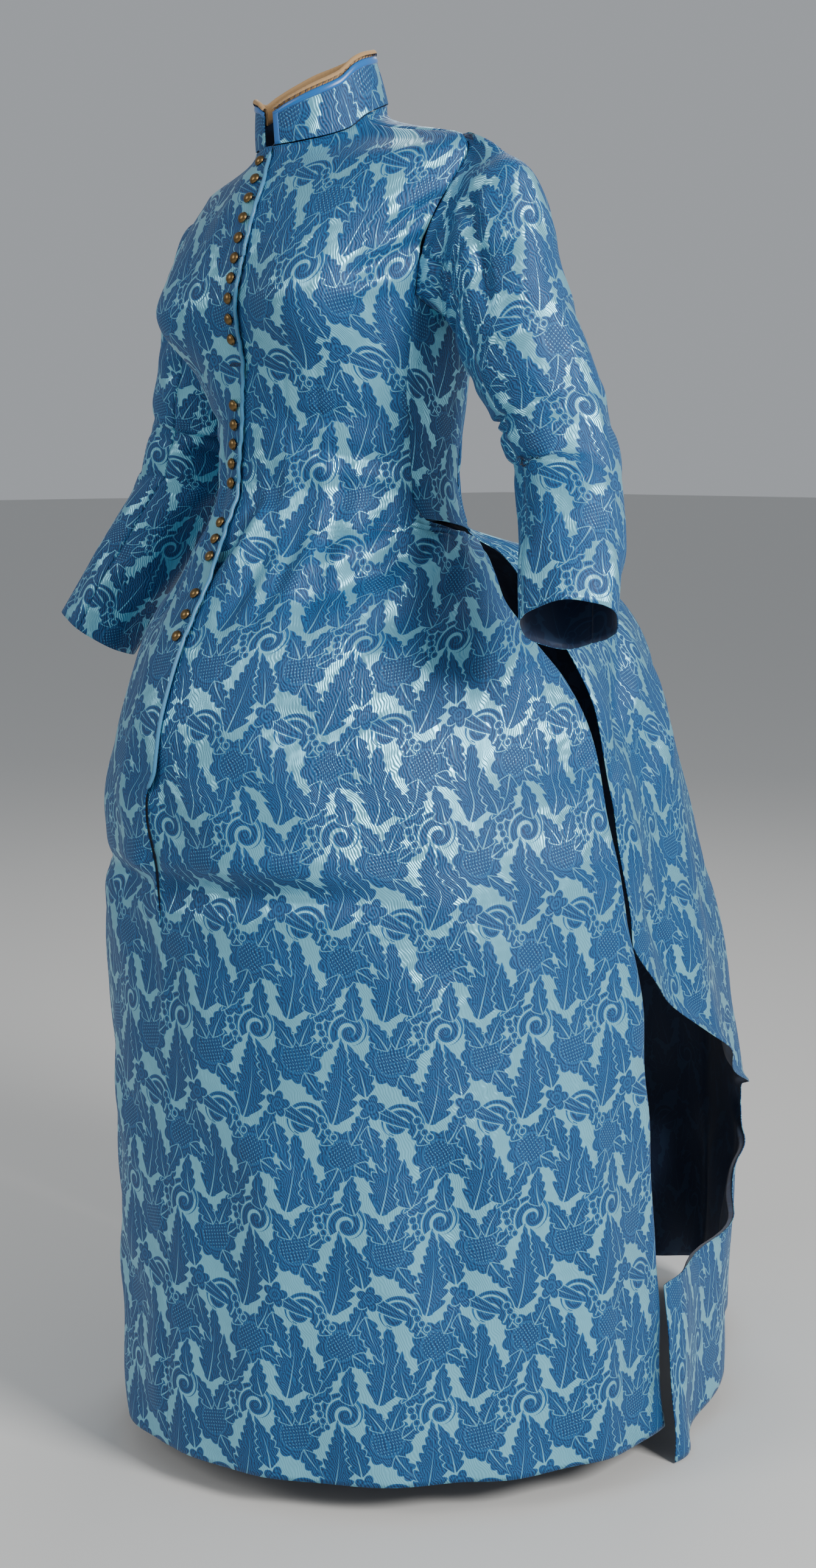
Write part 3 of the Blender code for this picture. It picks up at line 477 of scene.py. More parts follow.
def back_piece(side, word):
    share = spread(30)[None, :]
    base = np.linspace(WAIST_SEAM, NECK_SIDE, 90)[:, None]
    height = base * np.ones_like(share)
    for _ in range(3):
        start = read(BACK_REACH, "turn", height)
        turn = start + (180.0 - start) * share
        height = level(base, turn)
    seam = np.exp(-((turn - 155) * 0.0022 / 0.0025) ** 2) * 0.0010 * ease(height, 1.20, 1.16)
    lift = slack(turn * 0.002, height, 0.05, 0.0012) - seam
    lift = lift + creases(((118, 1.10, 140, 1.14, 0.008, -0.003),
                           (130, 0.93, 172, 0.95, 0.008, -0.002)), turn, height, 0.0022)
    points, normals = on_body(side * turn, height, lift)
    uvs = cloth_lengths(points, -1) * [side, 1] + [0, 0.93]
    shell(f"silk_back_{word}", sink_edges(points, normals), normals, uvs, [f"back_{word}"])


for hand, word in ((1, "left"), (-1, "right")):
    side_piece(hand, word)
    back_piece(hand, word)
print("bodice pieces:", sorted(pieces))


# %% [markdown]
# ## The drape over the bustle
# One wide piece is pleated into the waist seam, falls over the bustle and is open at both sides. Its
# left edge turns back low down and shows the dark reverse. Its plan at each height is a smooth
# curve from edge to edge, and the pleats are waves added to that curve, deepest where they are free.

# %% Points of the drape
HALF_DRAPE = 0.55        # metres of cloth from centre back to a free edge
DRAPE_CREASES = (
    (-0.95, 0.66, -0.55, 0.84, 0.016, -0.006), (-0.80, 0.60, -0.42, 0.82, 0.018, 0.006),
    (-0.60, 0.52, -0.30, 0.80, 0.016, -0.006), (-0.35, 0.50, -0.16, 0.80, 0.016, -0.005),
    (0.95, 0.66, 0.55, 0.84, 0.016, -0.006), (0.80, 0.60, 0.42, 0.82, 0.018, 0.006),
    (0.60, 0.52, 0.30, 0.80, 0.016, -0.006), (0.35, 0.50, 0.16, 0.80, 0.016, -0.005),
    (-0.90, 0.52, -0.70, 0.36, 0.014, -0.005), (-0.97, 0.60, -0.80, 0.47, 0.012, 0.004),
    (-0.30, 0.42, -0.34, 0.05, 0.024, -0.007), (0.28, 0.42, 0.32, 0.05, 0.024, -0.007),
    (0.62, 0.40, 0.66, 0.03, 0.022, 0.006), (0.0, 0.70, 0.02, 0.20, 0.022, -0.005),
)


def drape_point(share, height):
    """A point of the drape: share runs from its left edge (-1) by centre back to the right (1)."""
    share, height = np.broadcast_arrays(np.asarray(share, float), np.asarray(height, float))
    at = {name: read(DRAPE, name, height) for name in DRAPE[0].split()[1:]}
    t = 1 - np.abs(share)
    u = 1 - t
    flank_y = at["edge_y"] + at["flank_share"] * (at["back_y"] - at["edge_y"])
    x = u**3 * at["edge_x"] + 3 * u * u * t * at["flank_x"] + 3 * u * t * t * at["corner_x"]
    y = u**3 * at["edge_y"] + 3 * u * u * t * flank_y + (3 * u * t * t + t**3) * at["back_y"]
    depth = PLEAT_DEPTH_TOP + (PLEAT_DEPTH - PLEAT_DEPTH_TOP) * ease(height, 0.80, 0.60)
    depth = depth * ease(height, 0.8830, 0.860)
    wave = depth * np.cos(t * PLEATS * 2 * math.pi) * ease(t, 0.0, 0.12)
    fine = 0.0022 * np.cos(t * 11 * 2 * math.pi) * ease(height, 0.72, 0.86) * ease(height, 0.883, 0.87)
    out_x, out_y = u**1.5, 1 - u**1.5
    size = np.hypot(out_x, out_y)
    hand = np.where(share > 0, -1.0, 1.0)
    wave = wave + fine
    loose = np.stack([hand * (x + wave * out_x / size), y + wave * out_y / size, height], -1)
    seam_turn = 180.0 - (180.0 - DRAPE_TURN) * np.abs(share)
    sewn = body_point(hand * seam_turn, WAIST_SEAM)
    sewn[..., 2] = height
    return loose + (sewn - loose) * ease(height, 0.855, WAIST_SEAM)[..., None]


def drape_at(share, height):
    return to_world(drape_point(share, height))


# %% The drape's shell
drape_heights = np.interp(np.linspace(0, 1, 190), (0, 0.14, 0.32, 0.45, 0.68, 0.82, 1.0),
                          (0.0, 0.143, 0.190, 0.245, 0.482, 0.720, WAIST_SEAM - 0.0003))[:, None]
notch = read(NOTCH, "share", drape_heights)
left_shares = -spread(88)[None, ::-1] * (1 - notch)
right_shares = spread(88)[None, 1:] * np.ones_like(drape_heights)
drape_shares = np.concatenate([left_shares, right_shares], axis=1)
longer = CORNER_DROP * ease(np.abs(drape_shares), 0.55, 1.0) * ease(drape_heights, 0.146, 0.0)
low = drape_heights - longer
nudge = 0.002
across = drape_at(drape_shares - nudge, low) - drape_at(drape_shares + nudge, low)
upward = drape_at(drape_shares, low + nudge) - drape_at(drape_shares, low - nudge)
drape_normals = unit(np.cross(upward, across))
drape_relief = creases(DRAPE_CREASES, drape_shares, low, HALF_DRAPE)
drape_relief = drape_relief + slack(drape_shares * HALF_DRAPE, low, 0.08, 0.0024)
curl = np.exp(-(((1 - notch) - np.abs(drape_shares)) / 0.03) ** 2) * (drape_shares < 0)
drape_relief = drape_relief + 0.006 * curl * ease(notch, 0.02, 0.2)
drape_relief = drape_relief * ease(low, 0.882, 0.865)
drape_points = drape_at(drape_shares, low) + drape_normals * drape_relief[..., None]
drape_uvs = np.stack([drape_shares * 0.62, cloth_lengths(drape_points, 96)[..., 1]], -1)
shell("silk_back_drape", drape_points, drape_normals, drape_uvs, ["back_drape"])
print("drape:", len(pieces["silk_back_drape"].data.polygons), "faces")


# %% [markdown]
# ## Sleeves
# A tailored sleeve has an upper and an under piece, so that it can bend forward like the arm. It is
# laid out as one tube of rings that starts on the armhole, and parted along its two seams. The
# folds of the elbow and underarm are troughs that fade round the arm.

# %% Rings of a sleeve
def armhole_loop(count):
    """Points round the wearer's left armhole, from the shoulder tip down the front and back up."""
    fore = np.linspace(SHOULDER_TIP, ARMHOLE_FRONT, 60)
    rear = np.linspace(ARMHOLE_BACK, SHOULDER_TIP, 60)
    part = np.linspace(0.0, 1.0, 40)[1:-1]
    under = underarm(part)
    start = read(FRONT_REACH, "turn", under)
    turn = start + (read(BACK_REACH, "turn", under) - start) * part
    loop = np.concatenate([body_point(read(FRONT_REACH, "turn", fore), fore), body_point(turn, under),
                           body_point(read(BACK_REACH, "turn", rear), rear)[:-1]])
    closed = np.vstack([loop, loop[:1]])
    along = np.concatenate([[0], np.cumsum(np.linalg.norm(np.diff(closed, axis=0), axis=1))])
    at = np.arange(count) / count * along[-1]
    return np.stack([np.interp(at, along, closed[:, k]) for k in range(3)], -1)


def sleeve(side, word, rings=130, count=96):
    """A sleeve: side is 1 for the wearer's left and -1 for the right."""
    loop = armhole_loop(count)
    step = np.linspace(0.0, 1.0, rings)
    at = {name: read(ARM, name, step) for name in ARM[0].split()[1:]}
    closer = read(RIGHT_ARM, "closer", step) * (side < 0)
    drop = read(RIGHT_ARM, "drop", step) * (side < 0)
    outer = np.stack([at["outer_x"] - closer, at["y"], at["outer_height"] - drop], -1)
    inner = np.stack([at["inner_x"] - closer, at["y"], at["inner_height"] - drop], -1)
    centre = (outer + inner) / 2
    along = np.gradient(centre, axis=0)
    out = (outer - inner) / 2
    ahead = np.cross(along, out)
    ahead = unit(ahead) * (-np.sign(ahead[:, 1]) * at["depth"])[:, None]
    angle = np.arange(count) / count * 2 * math.pi
    ring = (centre[:, None] + np.cos(angle)[None, :, None] * out[:, None]
            + np.sin(angle)[None, :, None] * ahead[:, None])
    blend = ease(step, 0.0, 0.22)[:, None, None]
    grid = (loop[None] + (centre - centre[0])[:, None]) * (1 - blend) + ring * blend
    if side < 0:
        grid = grid * np.array([-1.0, 1.0, 1.0])
    grid = to_world(grid)
    normals = unit(np.cross(np.roll(grid, -1, axis=1) - np.roll(grid, 1, axis=1),
                            np.gradient(grid, axis=0)))
    away = grid - grid.mean(axis=1, keepdims=True)
    normals = normals * np.sign((normals * away).sum(-1, keepdims=True))
    grid = grid + normals * sleeve_relief(angle[None, :], step[:, None])[..., None]
    split_sleeve(grid, normals, word, side)


def sleeve_relief(angle, step):
    """Folds of a worn sleeve: deep ones at the underarm and elbow, a long one down the head."""
    inside = 0.5 - 0.5 * np.cos(angle)
    front_side = 0.5 + 0.5 * np.sin(angle)
    out = -0.0050 * np.exp(-((step - 0.60 - 0.015 * np.sin(angle)) / 0.012) ** 2) * inside
    out = out - 0.0045 * np.exp(-((step - 0.66 + 0.02 * np.sin(angle)) / 0.012) ** 2) * inside
    out = out - 0.0030 * np.exp(-((step - 0.73) / 0.013) ** 2) * inside * front_side
    out = out - 0.0040 * np.exp(-((step - 0.23 - 0.02 * np.cos(angle)) / 0.016) ** 2) * inside
    out = out - 0.0035 * np.exp(-((step - 0.32 - 0.04 * np.cos(angle)) / 0.016) ** 2) * inside
    long_fold = np.exp(-((angle - 1.05 - 0.5 * step) / 0.13) ** 2) * ease(step, 0.08, 0.16)
    out = out - 0.0055 * long_fold * ease(step, 0.46, 0.34)
    gathers = 0.0010 * np.cos(angle * 26) * ease(step, 0.09, 0.01) * (0.5 + 0.5 * np.cos(angle))
    out = out + gathers + slack(angle * 0.05, step * 0.5, 0.035, 0.0013)
    return WORN * out * ease(step, 0.0, 0.03)


def split_sleeve(grid, normals, word, side):
    """Part the tube into upper and under sleeve, each with its seams turned in."""
    count = grid.shape[1]
    front_seam, back_seam = round(count * 0.30), round(count * 0.70)
    halves = {"upper": list(range(back_seam, count)) + list(range(0, front_seam + 1)),
              "under": list(range(front_seam, back_seam + 1))}
    for kind, order in halves.items():
        points, facing = grid[:, order], normals[:, order]
        uvs = cloth_lengths(points, len(order) // 2) * [-side, -1]
        uvs = uvs + [0.3, 0.2 if kind == "upper" else 0.35]
        points = sink_edges(points, facing, depth=0.0008)
        shell(f"silk_sleeve_{kind}_{word}", points, facing, uvs, [f"sleeve_{kind}_{word}"])


for hand, word in ((1, "left"), (-1, "right")):
    sleeve(hand, word)
print("sleeves made; pieces so far:", len(pieces))


# %% [markdown]
# ## Collar
# A stiff standing collar of figured silk has a plain blue strip along its top and down its left
# end, and a tan facing rolled over the edge and caught down with slanted stitches. Each band is a
# section swept round the neck, and each stitch a short tube that follows the roll.

# %% Bands of the collar
COLLAR_OPENING = 7.0


def collar_at(turn, share, out):
    """A point of the collar at a turn, a share of its stand, and a distance out from it."""
    signed = np.where(turn > 180, turn - 360, turn)
    base_x, base_y = neck_ring(turn)
    shrink = 1 - 0.105 * share
    x = base_x * shrink
    y = NECK_CENTRE + (base_y - NECK_CENTRE) * shrink - 0.0085 * share
    radial = np.hypot(x, y - NECK_CENTRE)
    x, y = x * (1 + out / radial), NECK_CENTRE + (y - NECK_CENTRE) * (1 + out / radial)
    height = neck_height(signed) + 0.0012 + share * read(COLLAR, "stand", signed)
    return to_world(np.stack(np.broadcast_arrays(x, y, height), -1))


def collar_band(name, turns, shares, outs, nodes, thickness=SILK):
    """A band of the collar: shares and outs follow its section from bottom to top."""
    points = collar_at(turns[None, :], np.array(shares)[:, None], np.array(outs)[:, None])
    facing = unit(np.cross(np.gradient(points, axis=1), np.gradient(points, axis=0)))
    uvs = cloth_lengths(points, 0) + [0.05, 0.02]
    shell(name, points, facing, uvs, nodes, thickness)


collar_turns = np.linspace(COLLAR_OPENING, 360.0 - COLLAR_OPENING, 180)
body_shares = np.concatenate([[0.0, 0.015, 0.04], np.linspace(0.08, 0.78, 12), [0.815, 0.825]])
bulge = 0.0006 * np.sin(body_shares / 0.825 * math.pi)
collar_band("silk_collar", collar_turns, body_shares, bulge, ["collar"])
strip_shares = np.array([0.815, 0.83, 0.86, 0.90, 0.94, 0.965])
collar_band("silk_collar_strip", collar_turns, strip_shares, [0.0, 0.0007, 0.0011, 0.0011, 0.0007, 0.0],
            ["collar_strip"])
ROLL_RADIUS = 0.0019
roll_angle = np.linspace(-0.2, math.pi, 11)
roll_shares = [0.60, 0.72, 0.84, 0.94] + [1.02 + 0.055 * math.sin(a) for a in roll_angle[::-1]]
roll_outs = [-0.0030] * 4 + [ROLL_RADIUS * math.cos(a) - 0.0006 for a in roll_angle[::-1]]
lining_points = collar_at(collar_turns[None, :], np.array(roll_shares)[:, None],
                          np.array(roll_outs)[:, None] + 0.0004 * np.sin(collar_turns * 1.9)[None, :])
lining_facing = unit(np.cross(np.gradient(lining_points, axis=0), np.gradient(lining_points, axis=1)))
shell("tan_collar_facing", lining_points, -lining_facing, cloth_lengths(lining_points, 0),
      ["collar_lining"], 0.0007)


# %% Threads
def solid_piece(name, points, faces):
    """A closed mesh of the dress, linked to the scene and kept among the pieces."""
    mesh = bpy.data.meshes.new(name)
    mesh.from_pydata(points, [], faces)
    mesh.shade_smooth()
    piece = bpy.data.objects.new(name, mesh)
    bpy.context.collection.objects.link(piece)
    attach(piece, "root")
    pieces[name] = piece
    return piece


def tube(path, radius, sides=6):
    """Points and faces of a closed tube along a path."""
    path = np.asarray(path, float)
    along = unit(np.gradient(path, axis=0))
    side = unit(np.cross(along, [0.13, 0.31, 0.94]))
    up = np.cross(side, along)
    angle = np.arange(sides) / sides * 2 * math.pi
    taper = np.ones(len(path))
    taper[0] = taper[-1] = 0.45
    ring = (side[:, None] * np.cos(angle)[None, :, None] + up[:, None] * np.sin(angle)[None, :, None])
    points = path[:, None] + ring * (radius * taper)[:, None, None]
    faces = []
    for i in range(len(path) - 1):
        for k in range(sides):
            a, b = i * sides + k, i * sides + (k + 1) % sides
            faces.append((a, b, b + sides, a + sides))
    faces.append(tuple(range(sides))[::-1])
    faces.append(tuple((len(path) - 1) * sides + k for k in range(sides)))
    return points.reshape(-1, 3), faces


def tubes(name, paths, radius, sides=6):
    """Many tubes as one piece."""
    points, faces, start = [], [], 0
    for path in paths:
        some, cells = tube(path, radius, sides)
        points.append(some)
        faces += [tuple(i + start for i in cell) for cell in cells]
        start += len(some)
    solid_piece(name, np.concatenate(points).tolist(), faces)


stitch_turns = np.linspace(COLLAR_OPENING + 2, 358.0 - COLLAR_OPENING, 66)
stitches = []
for turn in stitch_turns:
    ends = np.array([turn, turn + 0.8, turn + 1.6, turn + 2.4])
    stitches.append(collar_at(ends, np.array([0.955, 0.98, 1.0, 1.02]),
                              np.array([0.0007, 0.0016, 0.0019, 0.0017])))
tubes("collar_stitches", stitches, 0.00032)
print("collar:", len(collar_turns), "columns,", len(stitches), "stitches")

# %% [markdown]
# ## Closure and trim
# The right front's edge is a narrow roll, drawn in a little at every button. Domed metal buttons sit
# in stitched holes, and one hole below the bust has no button. A button is turned from its half
# section, like the real stamped one, and every place is measured on the right front's own grid.

# %% Rolled edge, buttonholes and buttons
EMPTY_HOLE = 1.031       # height of the buttonhole that has lost its button
edge_heights = right_points[:, 0, 2] + HOLD_HEIGHT


def on_front(height, distance, out=0.0):
    """A point on the right front at a height, a distance in from its edge, and its normal."""
    row = float(np.interp(height, edge_heights, np.arange(len(edge_heights))))
    low = min(int(row), len(edge_heights) - 2)
    line = right_points[low] * (1 - row + low) + right_points[low + 1] * (row - low)
    facing = right_normals[low] * (1 - row + low) + right_normals[low + 1] * (row - low)
    along = np.concatenate([[0], np.cumsum(np.linalg.norm(np.diff(line, axis=0), axis=1))])
    point = np.array([np.interp(distance, along, line[:, k]) for k in range(3)])
    normal = unit(np.array([np.interp(distance, along, facing[:, k]) for k in range(3)]))
    return point + normal * out, normal


button_heights = [h for count, top, bottom in BUTTON_GROUPS for h in np.linspace(top, bottom, count)]
roll = []
for height in np.arange(SLIT_BOTTOM + 0.012, NECK_FRONT - 0.002, 0.0028):
    nearest = min(abs(height - h) for h in button_heights)
    pull = 0.0011 * math.exp(-(nearest / 0.004) ** 2)
    roll.append(on_front(height, 0.0006 + pull, -0.0002)[0])
tubes("front_edge_roll", [roll], 0.0019, 8)

holes = []
for height in button_heights + [EMPTY_HOLE]:
    loop = []
    for angle in np.linspace(0, 2 * math.pi, 17):
        loop.append(on_front(height + 0.0011 * math.sin(angle),
                             LAP - 0.0015 + 0.0085 * math.cos(angle), 0.0003)[0])
    holes.append(loop)
tubes("buttonhole_stitching", holes, 0.00055, 5)

PROFILE = ((0.0, 1.0), (0.20, 0.985), (0.40, 0.93), (0.58, 0.84), (0.74, 0.70), (0.86, 0.52),
           (0.915, 0.36), (0.93, 0.30), (0.955, 0.34), (0.985, 0.31), (1.0, 0.20), (0.985, 0.09),
           (0.90, 0.02), (0.50, 0.0), (0.34, 0.0), (0.30, -0.10), (0.0, -0.10))


def button(number, height):
    """A domed metal button turned from its half section and seated on the cloth."""
    seat, normal = on_front(height, LAP, 0.0006)
    turning = Matrix.LocRotScale(Vector(seat), Vector(normal).to_track_quat("Z", "Y"), None)
    sides = 28
    points, faces = [], []
    for radius, rise in PROFILE[1:-1]:
        for k in range(sides):
            angle = k / sides * 2 * math.pi
            points.append((radius * BUTTON_RADIUS * math.cos(angle),
                           radius * BUTTON_RADIUS * math.sin(angle), rise * BUTTON_RISE))
    rings = len(PROFILE) - 2
    for i in range(rings - 1):
        for k in range(sides):
            a, b = i * sides + k, i * sides + (k + 1) % sides
            faces.append((a, a + sides, b + sides, b))
    points.append((0.0, 0.0, BUTTON_RISE))
    points.append((0.0, 0.0, -0.10 * BUTTON_RISE))
    for k in range(sides):
        after = (k + 1) % sides
        faces.append((len(points) - 2, k, after))
        faces.append((len(points) - 1, (rings - 1) * sides + after, (rings - 1) * sides + k))
    placed = [turning @ Vector(point) for point in points]
    piece = solid_piece(f"metal_button_{number:02d}", placed, faces)
    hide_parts(f"button_{number:02d}")


for number, height in enumerate(button_heights, 1):
    button(number, height)
print("buttons:", len(button_heights), "and holes:", len(holes))

# %% Plain strip down the collar's left end
end_turns = np.linspace(COLLAR_OPENING - 0.6, COLLAR_OPENING + 5.0, 7)
end_shares = np.linspace(0.0, 0.95, 12)
collar_band("silk_collar_end", end_turns, end_shares, [0.0010], [], 0.0006)

# %% [markdown]
# ## Figured silk
# The silk is a damask: matt blue leaves and fruit stand on a light satin ground. It could be a
# picture, but a picture has one resolution and one drawing. So the figure is built from leaves,
# flowers, curls and berries, each a node group that gives how far inside its outline a place is.
# A later motif lies over the earlier ones, and the repeat is 88 mm by 180 mm.

# %% Short calls for building node trees
TILE = (0.088, 0.180)


class Net:
    """Adds nodes to one tree. An input is a number, a tuple or another node's output."""

    def __init__(self, tree):
        self.tree = tree

    def node(self, kind, inputs=(), **settings):
        made = self.tree.nodes.new(kind)
        for name, value in settings.items():
            setattr(made, name, value)
        for key, value in dict(inputs).items():
            if isinstance(value, bpy.types.NodeSocket):
                self.tree.links.new(value, made.inputs[key])
            else:
                made.inputs[key].default_value = value
        return made

    def math(self, operation, a, b=0.0, c=0.0, clamp=False):
        return self.node("ShaderNodeMath", {0: a, 1: b, 2: c}, operation=operation,
                         use_clamp=clamp).outputs[0]

    def vector(self, operation, a, b=(0, 0, 0), c=(0, 0, 0)):
        made = self.node("ShaderNodeVectorMath", {0: a, 1: b, 2: c}, operation=operation)
        return made.outputs["Value" if operation in ("LENGTH", "DOT_PRODUCT") else "Vector"]

    def join(self, x, y, z=0.0):
        return self.node("ShaderNodeCombineXYZ", {0: x, 1: y, 2: z}).outputs[0]

    def split(self, value):
        return self.node("ShaderNodeSeparateXYZ", {0: value}).outputs

    def smooth(self, value, low, high):
        return self.node("ShaderNodeMapRange", {"Value": value, "From Min": low, "From Max": high},
                         interpolation_type="SMOOTHSTEP").outputs[0]

    def blend(self, factor, a, b):
        made = self.node("ShaderNodeMix", {"Factor": factor}, data_type="RGBA")
        for key, value in (("A_Color", a), ("B_Color", b)):
            socket = next(s for s in made.inputs if s.identifier == key)
            if isinstance(value, bpy.types.NodeSocket):
                self.tree.links.new(value, socket)
            else:
                socket.default_value = value
        return next(s for s in made.outputs if s.identifier == "Result_Color")

    def call(self, group, **inputs):
        made = self.tree.nodes.new("ShaderNodeGroup")
        made.node_tree = group
        for key, value in inputs.items():
            name = key.replace("_", " ")
            if isinstance(value, bpy.types.NodeSocket):
                self.tree.links.new(value, made.inputs[name])
            else:
                made.inputs[name].default_value = value
        return made.outputs


def group(name, inputs, outputs):
    """A node group with named inputs and outputs, and its Net, inputs and output node."""
    tree = bpy.data.node_groups.new(name, "ShaderNodeTree")
    for label, value in inputs:
        kind = "NodeSocketVector" if isinstance(value, tuple) else "NodeSocketFloat"
        socket = tree.interface.new_socket(label, in_out="INPUT", socket_type=kind)
        socket.default_value = value
    for label in outputs:
        tree.interface.new_socket(label, in_out="OUTPUT", socket_type="NodeSocketFloat")
    net = Net(tree)
    return net, tree.nodes.new("NodeGroupInput").outputs, tree.nodes.new("NodeGroupOutput").inputs


# %% A leaf, a flower, a curl and a string of berries
net, given, result = group("Motif Place", [("Cloth", (0.0, 0.0, 0.0)), ("Centre", (0.0, 0.0, 0.0)),
                                           ("Turn", 0.0)], [])
net.tree.interface.new_socket("Place", in_out="OUTPUT", socket_type="NodeSocketVector")
result = net.tree.nodes["Group Output"].inputs
away = net.vector("SUBTRACT", given["Cloth"], given["Centre"])
near = net.vector("WRAP", away, (TILE[0] / 2, TILE[1] / 2, 1.0), (-TILE[0] / 2, -TILE[1] / 2, -1.0))
turned = net.node("ShaderNodeVectorRotate", {"Vector": near, "Angle": given["Turn"]},
                  rotation_type="Z_AXIS", invert=True).outputs[0]
net.tree.links.new(turned, result["Place"])
motif_place = net.tree


def motif(name, **sizes):
    """A motif's group: its Net, its inputs and output, and the place as seen from its centre."""
    inputs = [("Cloth", (0.0, 0.0, 0.0)), ("Centre", (0.0, 0.0, 0.0)), ("Turn", 0.0), *sizes.items()]
    net, given, result = group(name, inputs, ["Inside"])
    place = net.call(motif_place, Cloth=given["Cloth"], Centre=given["Centre"], Turn=given["Turn"])[0]
    x, y, _ = net.split(place)
    return net, given, result, place, x, y


net, given, result, place, x, y = motif("Leaf", Length=0.04, Width=0.008, Bend=0.0, Lobes=5.0, Notch=0.35)
share = net.math("DIVIDE", x, given["Length"])
inner = net.math("MINIMUM", net.math("MAXIMUM", share, 0.0), 1.0)
bow = net.math("MULTIPLY", given["Bend"], net.math("MULTIPLY", inner, inner))
y = net.math("SUBTRACT", y, bow)
side = net.math("ABSOLUTE", y)
body = net.math("SINE", net.math("MULTIPLY", net.math("POWER", inner, 0.62), math.pi))
lean = net.math("ADD", inner, net.math("MULTIPLY", side, -9.0))
teeth = net.math("ABSOLUTE", net.math("SINE", net.math("MULTIPLY", net.math("MULTIPLY", lean,
                                                                           given["Lobes"]), math.pi)))
cut = net.math("SUBTRACT", 1.0, net.math("MULTIPLY", given["Notch"], net.math("SUBTRACT", 1.0, teeth)))
half = net.math("MULTIPLY", net.math("MULTIPLY", body, cut), given["Width"])
past = net.math("MULTIPLY", net.math("ABSOLUTE", net.math("SUBTRACT", share, inner)), given["Length"])
inside = net.math("SUBTRACT", net.math("SUBTRACT", half, side), past)
midrib = net.math("SUBTRACT", net.math("MULTIPLY", net.math("SUBTRACT", 1.0, inner), 0.0011), side)
inside = net.math("MINIMUM", inside, net.math("MULTIPLY", midrib, -1.6))
net.tree.links.new(inside, result["Inside"])
leaf = net.tree

net, given, result, place, x, y = motif("Flower", Radius=0.012, Petals=5.0, Depth=0.3, Seeds=0.5, Ring=0.6)
radius = net.vector("LENGTH", place)
angle = net.math("ARCTAN2", y, x)
petal = net.math("ABSOLUTE", net.math("COSINE", net.math("MULTIPLY", net.math("MULTIPLY", angle, 0.5),
                                                         given["Petals"])))
edge = net.math("SUBTRACT", 1.0, net.math("MULTIPLY", given["Depth"], net.math("SUBTRACT", 1.0, petal)))
edge = net.math("MULTIPLY", edge, given["Radius"])
inside = net.math("SUBTRACT", edge, radius)
core = net.math("MULTIPLY", given["Radius"], given["Ring"])
ring = net.math("ABSOLUTE", net.math("SUBTRACT", radius, core))
inside = net.math("MINIMUM", inside, net.math("SUBTRACT", ring, 0.0006))
lattice = net.math("MULTIPLY", net.math("SINE", net.math("MULTIPLY", net.math("ADD", x, y), 1000.0)),
                   net.math("SINE", net.math("MULTIPLY", net.math("SUBTRACT", x, y), 1000.0)))
seeds = net.math("MULTIPLY", net.math("SUBTRACT", given["Seeds"], lattice), 0.0016)
outside = net.math("MULTIPLY", net.math("SUBTRACT", radius, core), 3.0)
inside = net.math("MINIMUM", inside, net.math("MAXIMUM", seeds, outside))
net.tree.links.new(inside, result["Inside"])
flower = net.tree

net, given, result, place, x, y = motif("Curl", Radius=0.013, Hand=1.0, Band=0.0022)
radius = net.vector("LENGTH", place)
angle = net.math("MULTIPLY", net.math("ARCTAN2", y, x), given["Hand"])
part = net.math("MULTIPLY", angle, 1 / (2 * math.pi))
pitch = net.math("MULTIPLY", given["Radius"], 0.55)
turns = net.math("DIVIDE", radius, pitch)
phase = net.math("SUBTRACT", turns, part)
phase = net.math("SUBTRACT", phase, net.math("ROUND", phase))
gap = net.math("MULTIPLY", net.math("ABSOLUTE", phase), pitch)
wider = net.math("MULTIPLY", given["Band"], net.math("ADD", 0.55, net.math("MULTIPLY", turns, 0.3)))
inside = net.math("SUBTRACT", wider, gap)
reach = net.math("SUBTRACT", net.math("MULTIPLY", given["Radius"], net.math("ADD", 1.0, part)), radius)
inside = net.math("MINIMUM", inside, reach)
eye = net.math("SUBTRACT", net.math("MULTIPLY", given["Radius"], 0.24), radius)
net.tree.links.new(net.math("MAXIMUM", inside, eye), result["Inside"])
curl_band = net.tree

net, given, result, place, x, y = motif("Berries", Count=4.0, Size=0.0022, Bend=0.0)
space = net.math("MULTIPLY", given["Size"], 2.3)
number = net.math("ROUND", net.math("DIVIDE", x, space))
number = net.math("MINIMUM", net.math("MAXIMUM", number, 0.0), given["Count"])
along = net.math("SUBTRACT", x, net.math("MULTIPLY", number, space))
bow = net.math("MULTIPLY", given["Bend"], net.math("MULTIPLY", number, number))
across = net.math("SUBTRACT", y, bow)
size = net.math("MULTIPLY", given["Size"], net.math("SUBTRACT", 1.0, net.math("MULTIPLY", number, 0.08)))
inside = net.math("SUBTRACT", size, net.vector("LENGTH", net.join(along, across)))
net.tree.links.new(inside, result["Inside"])
berries = net.tree
print("motifs:", [t.name for t in bpy.data.node_groups])

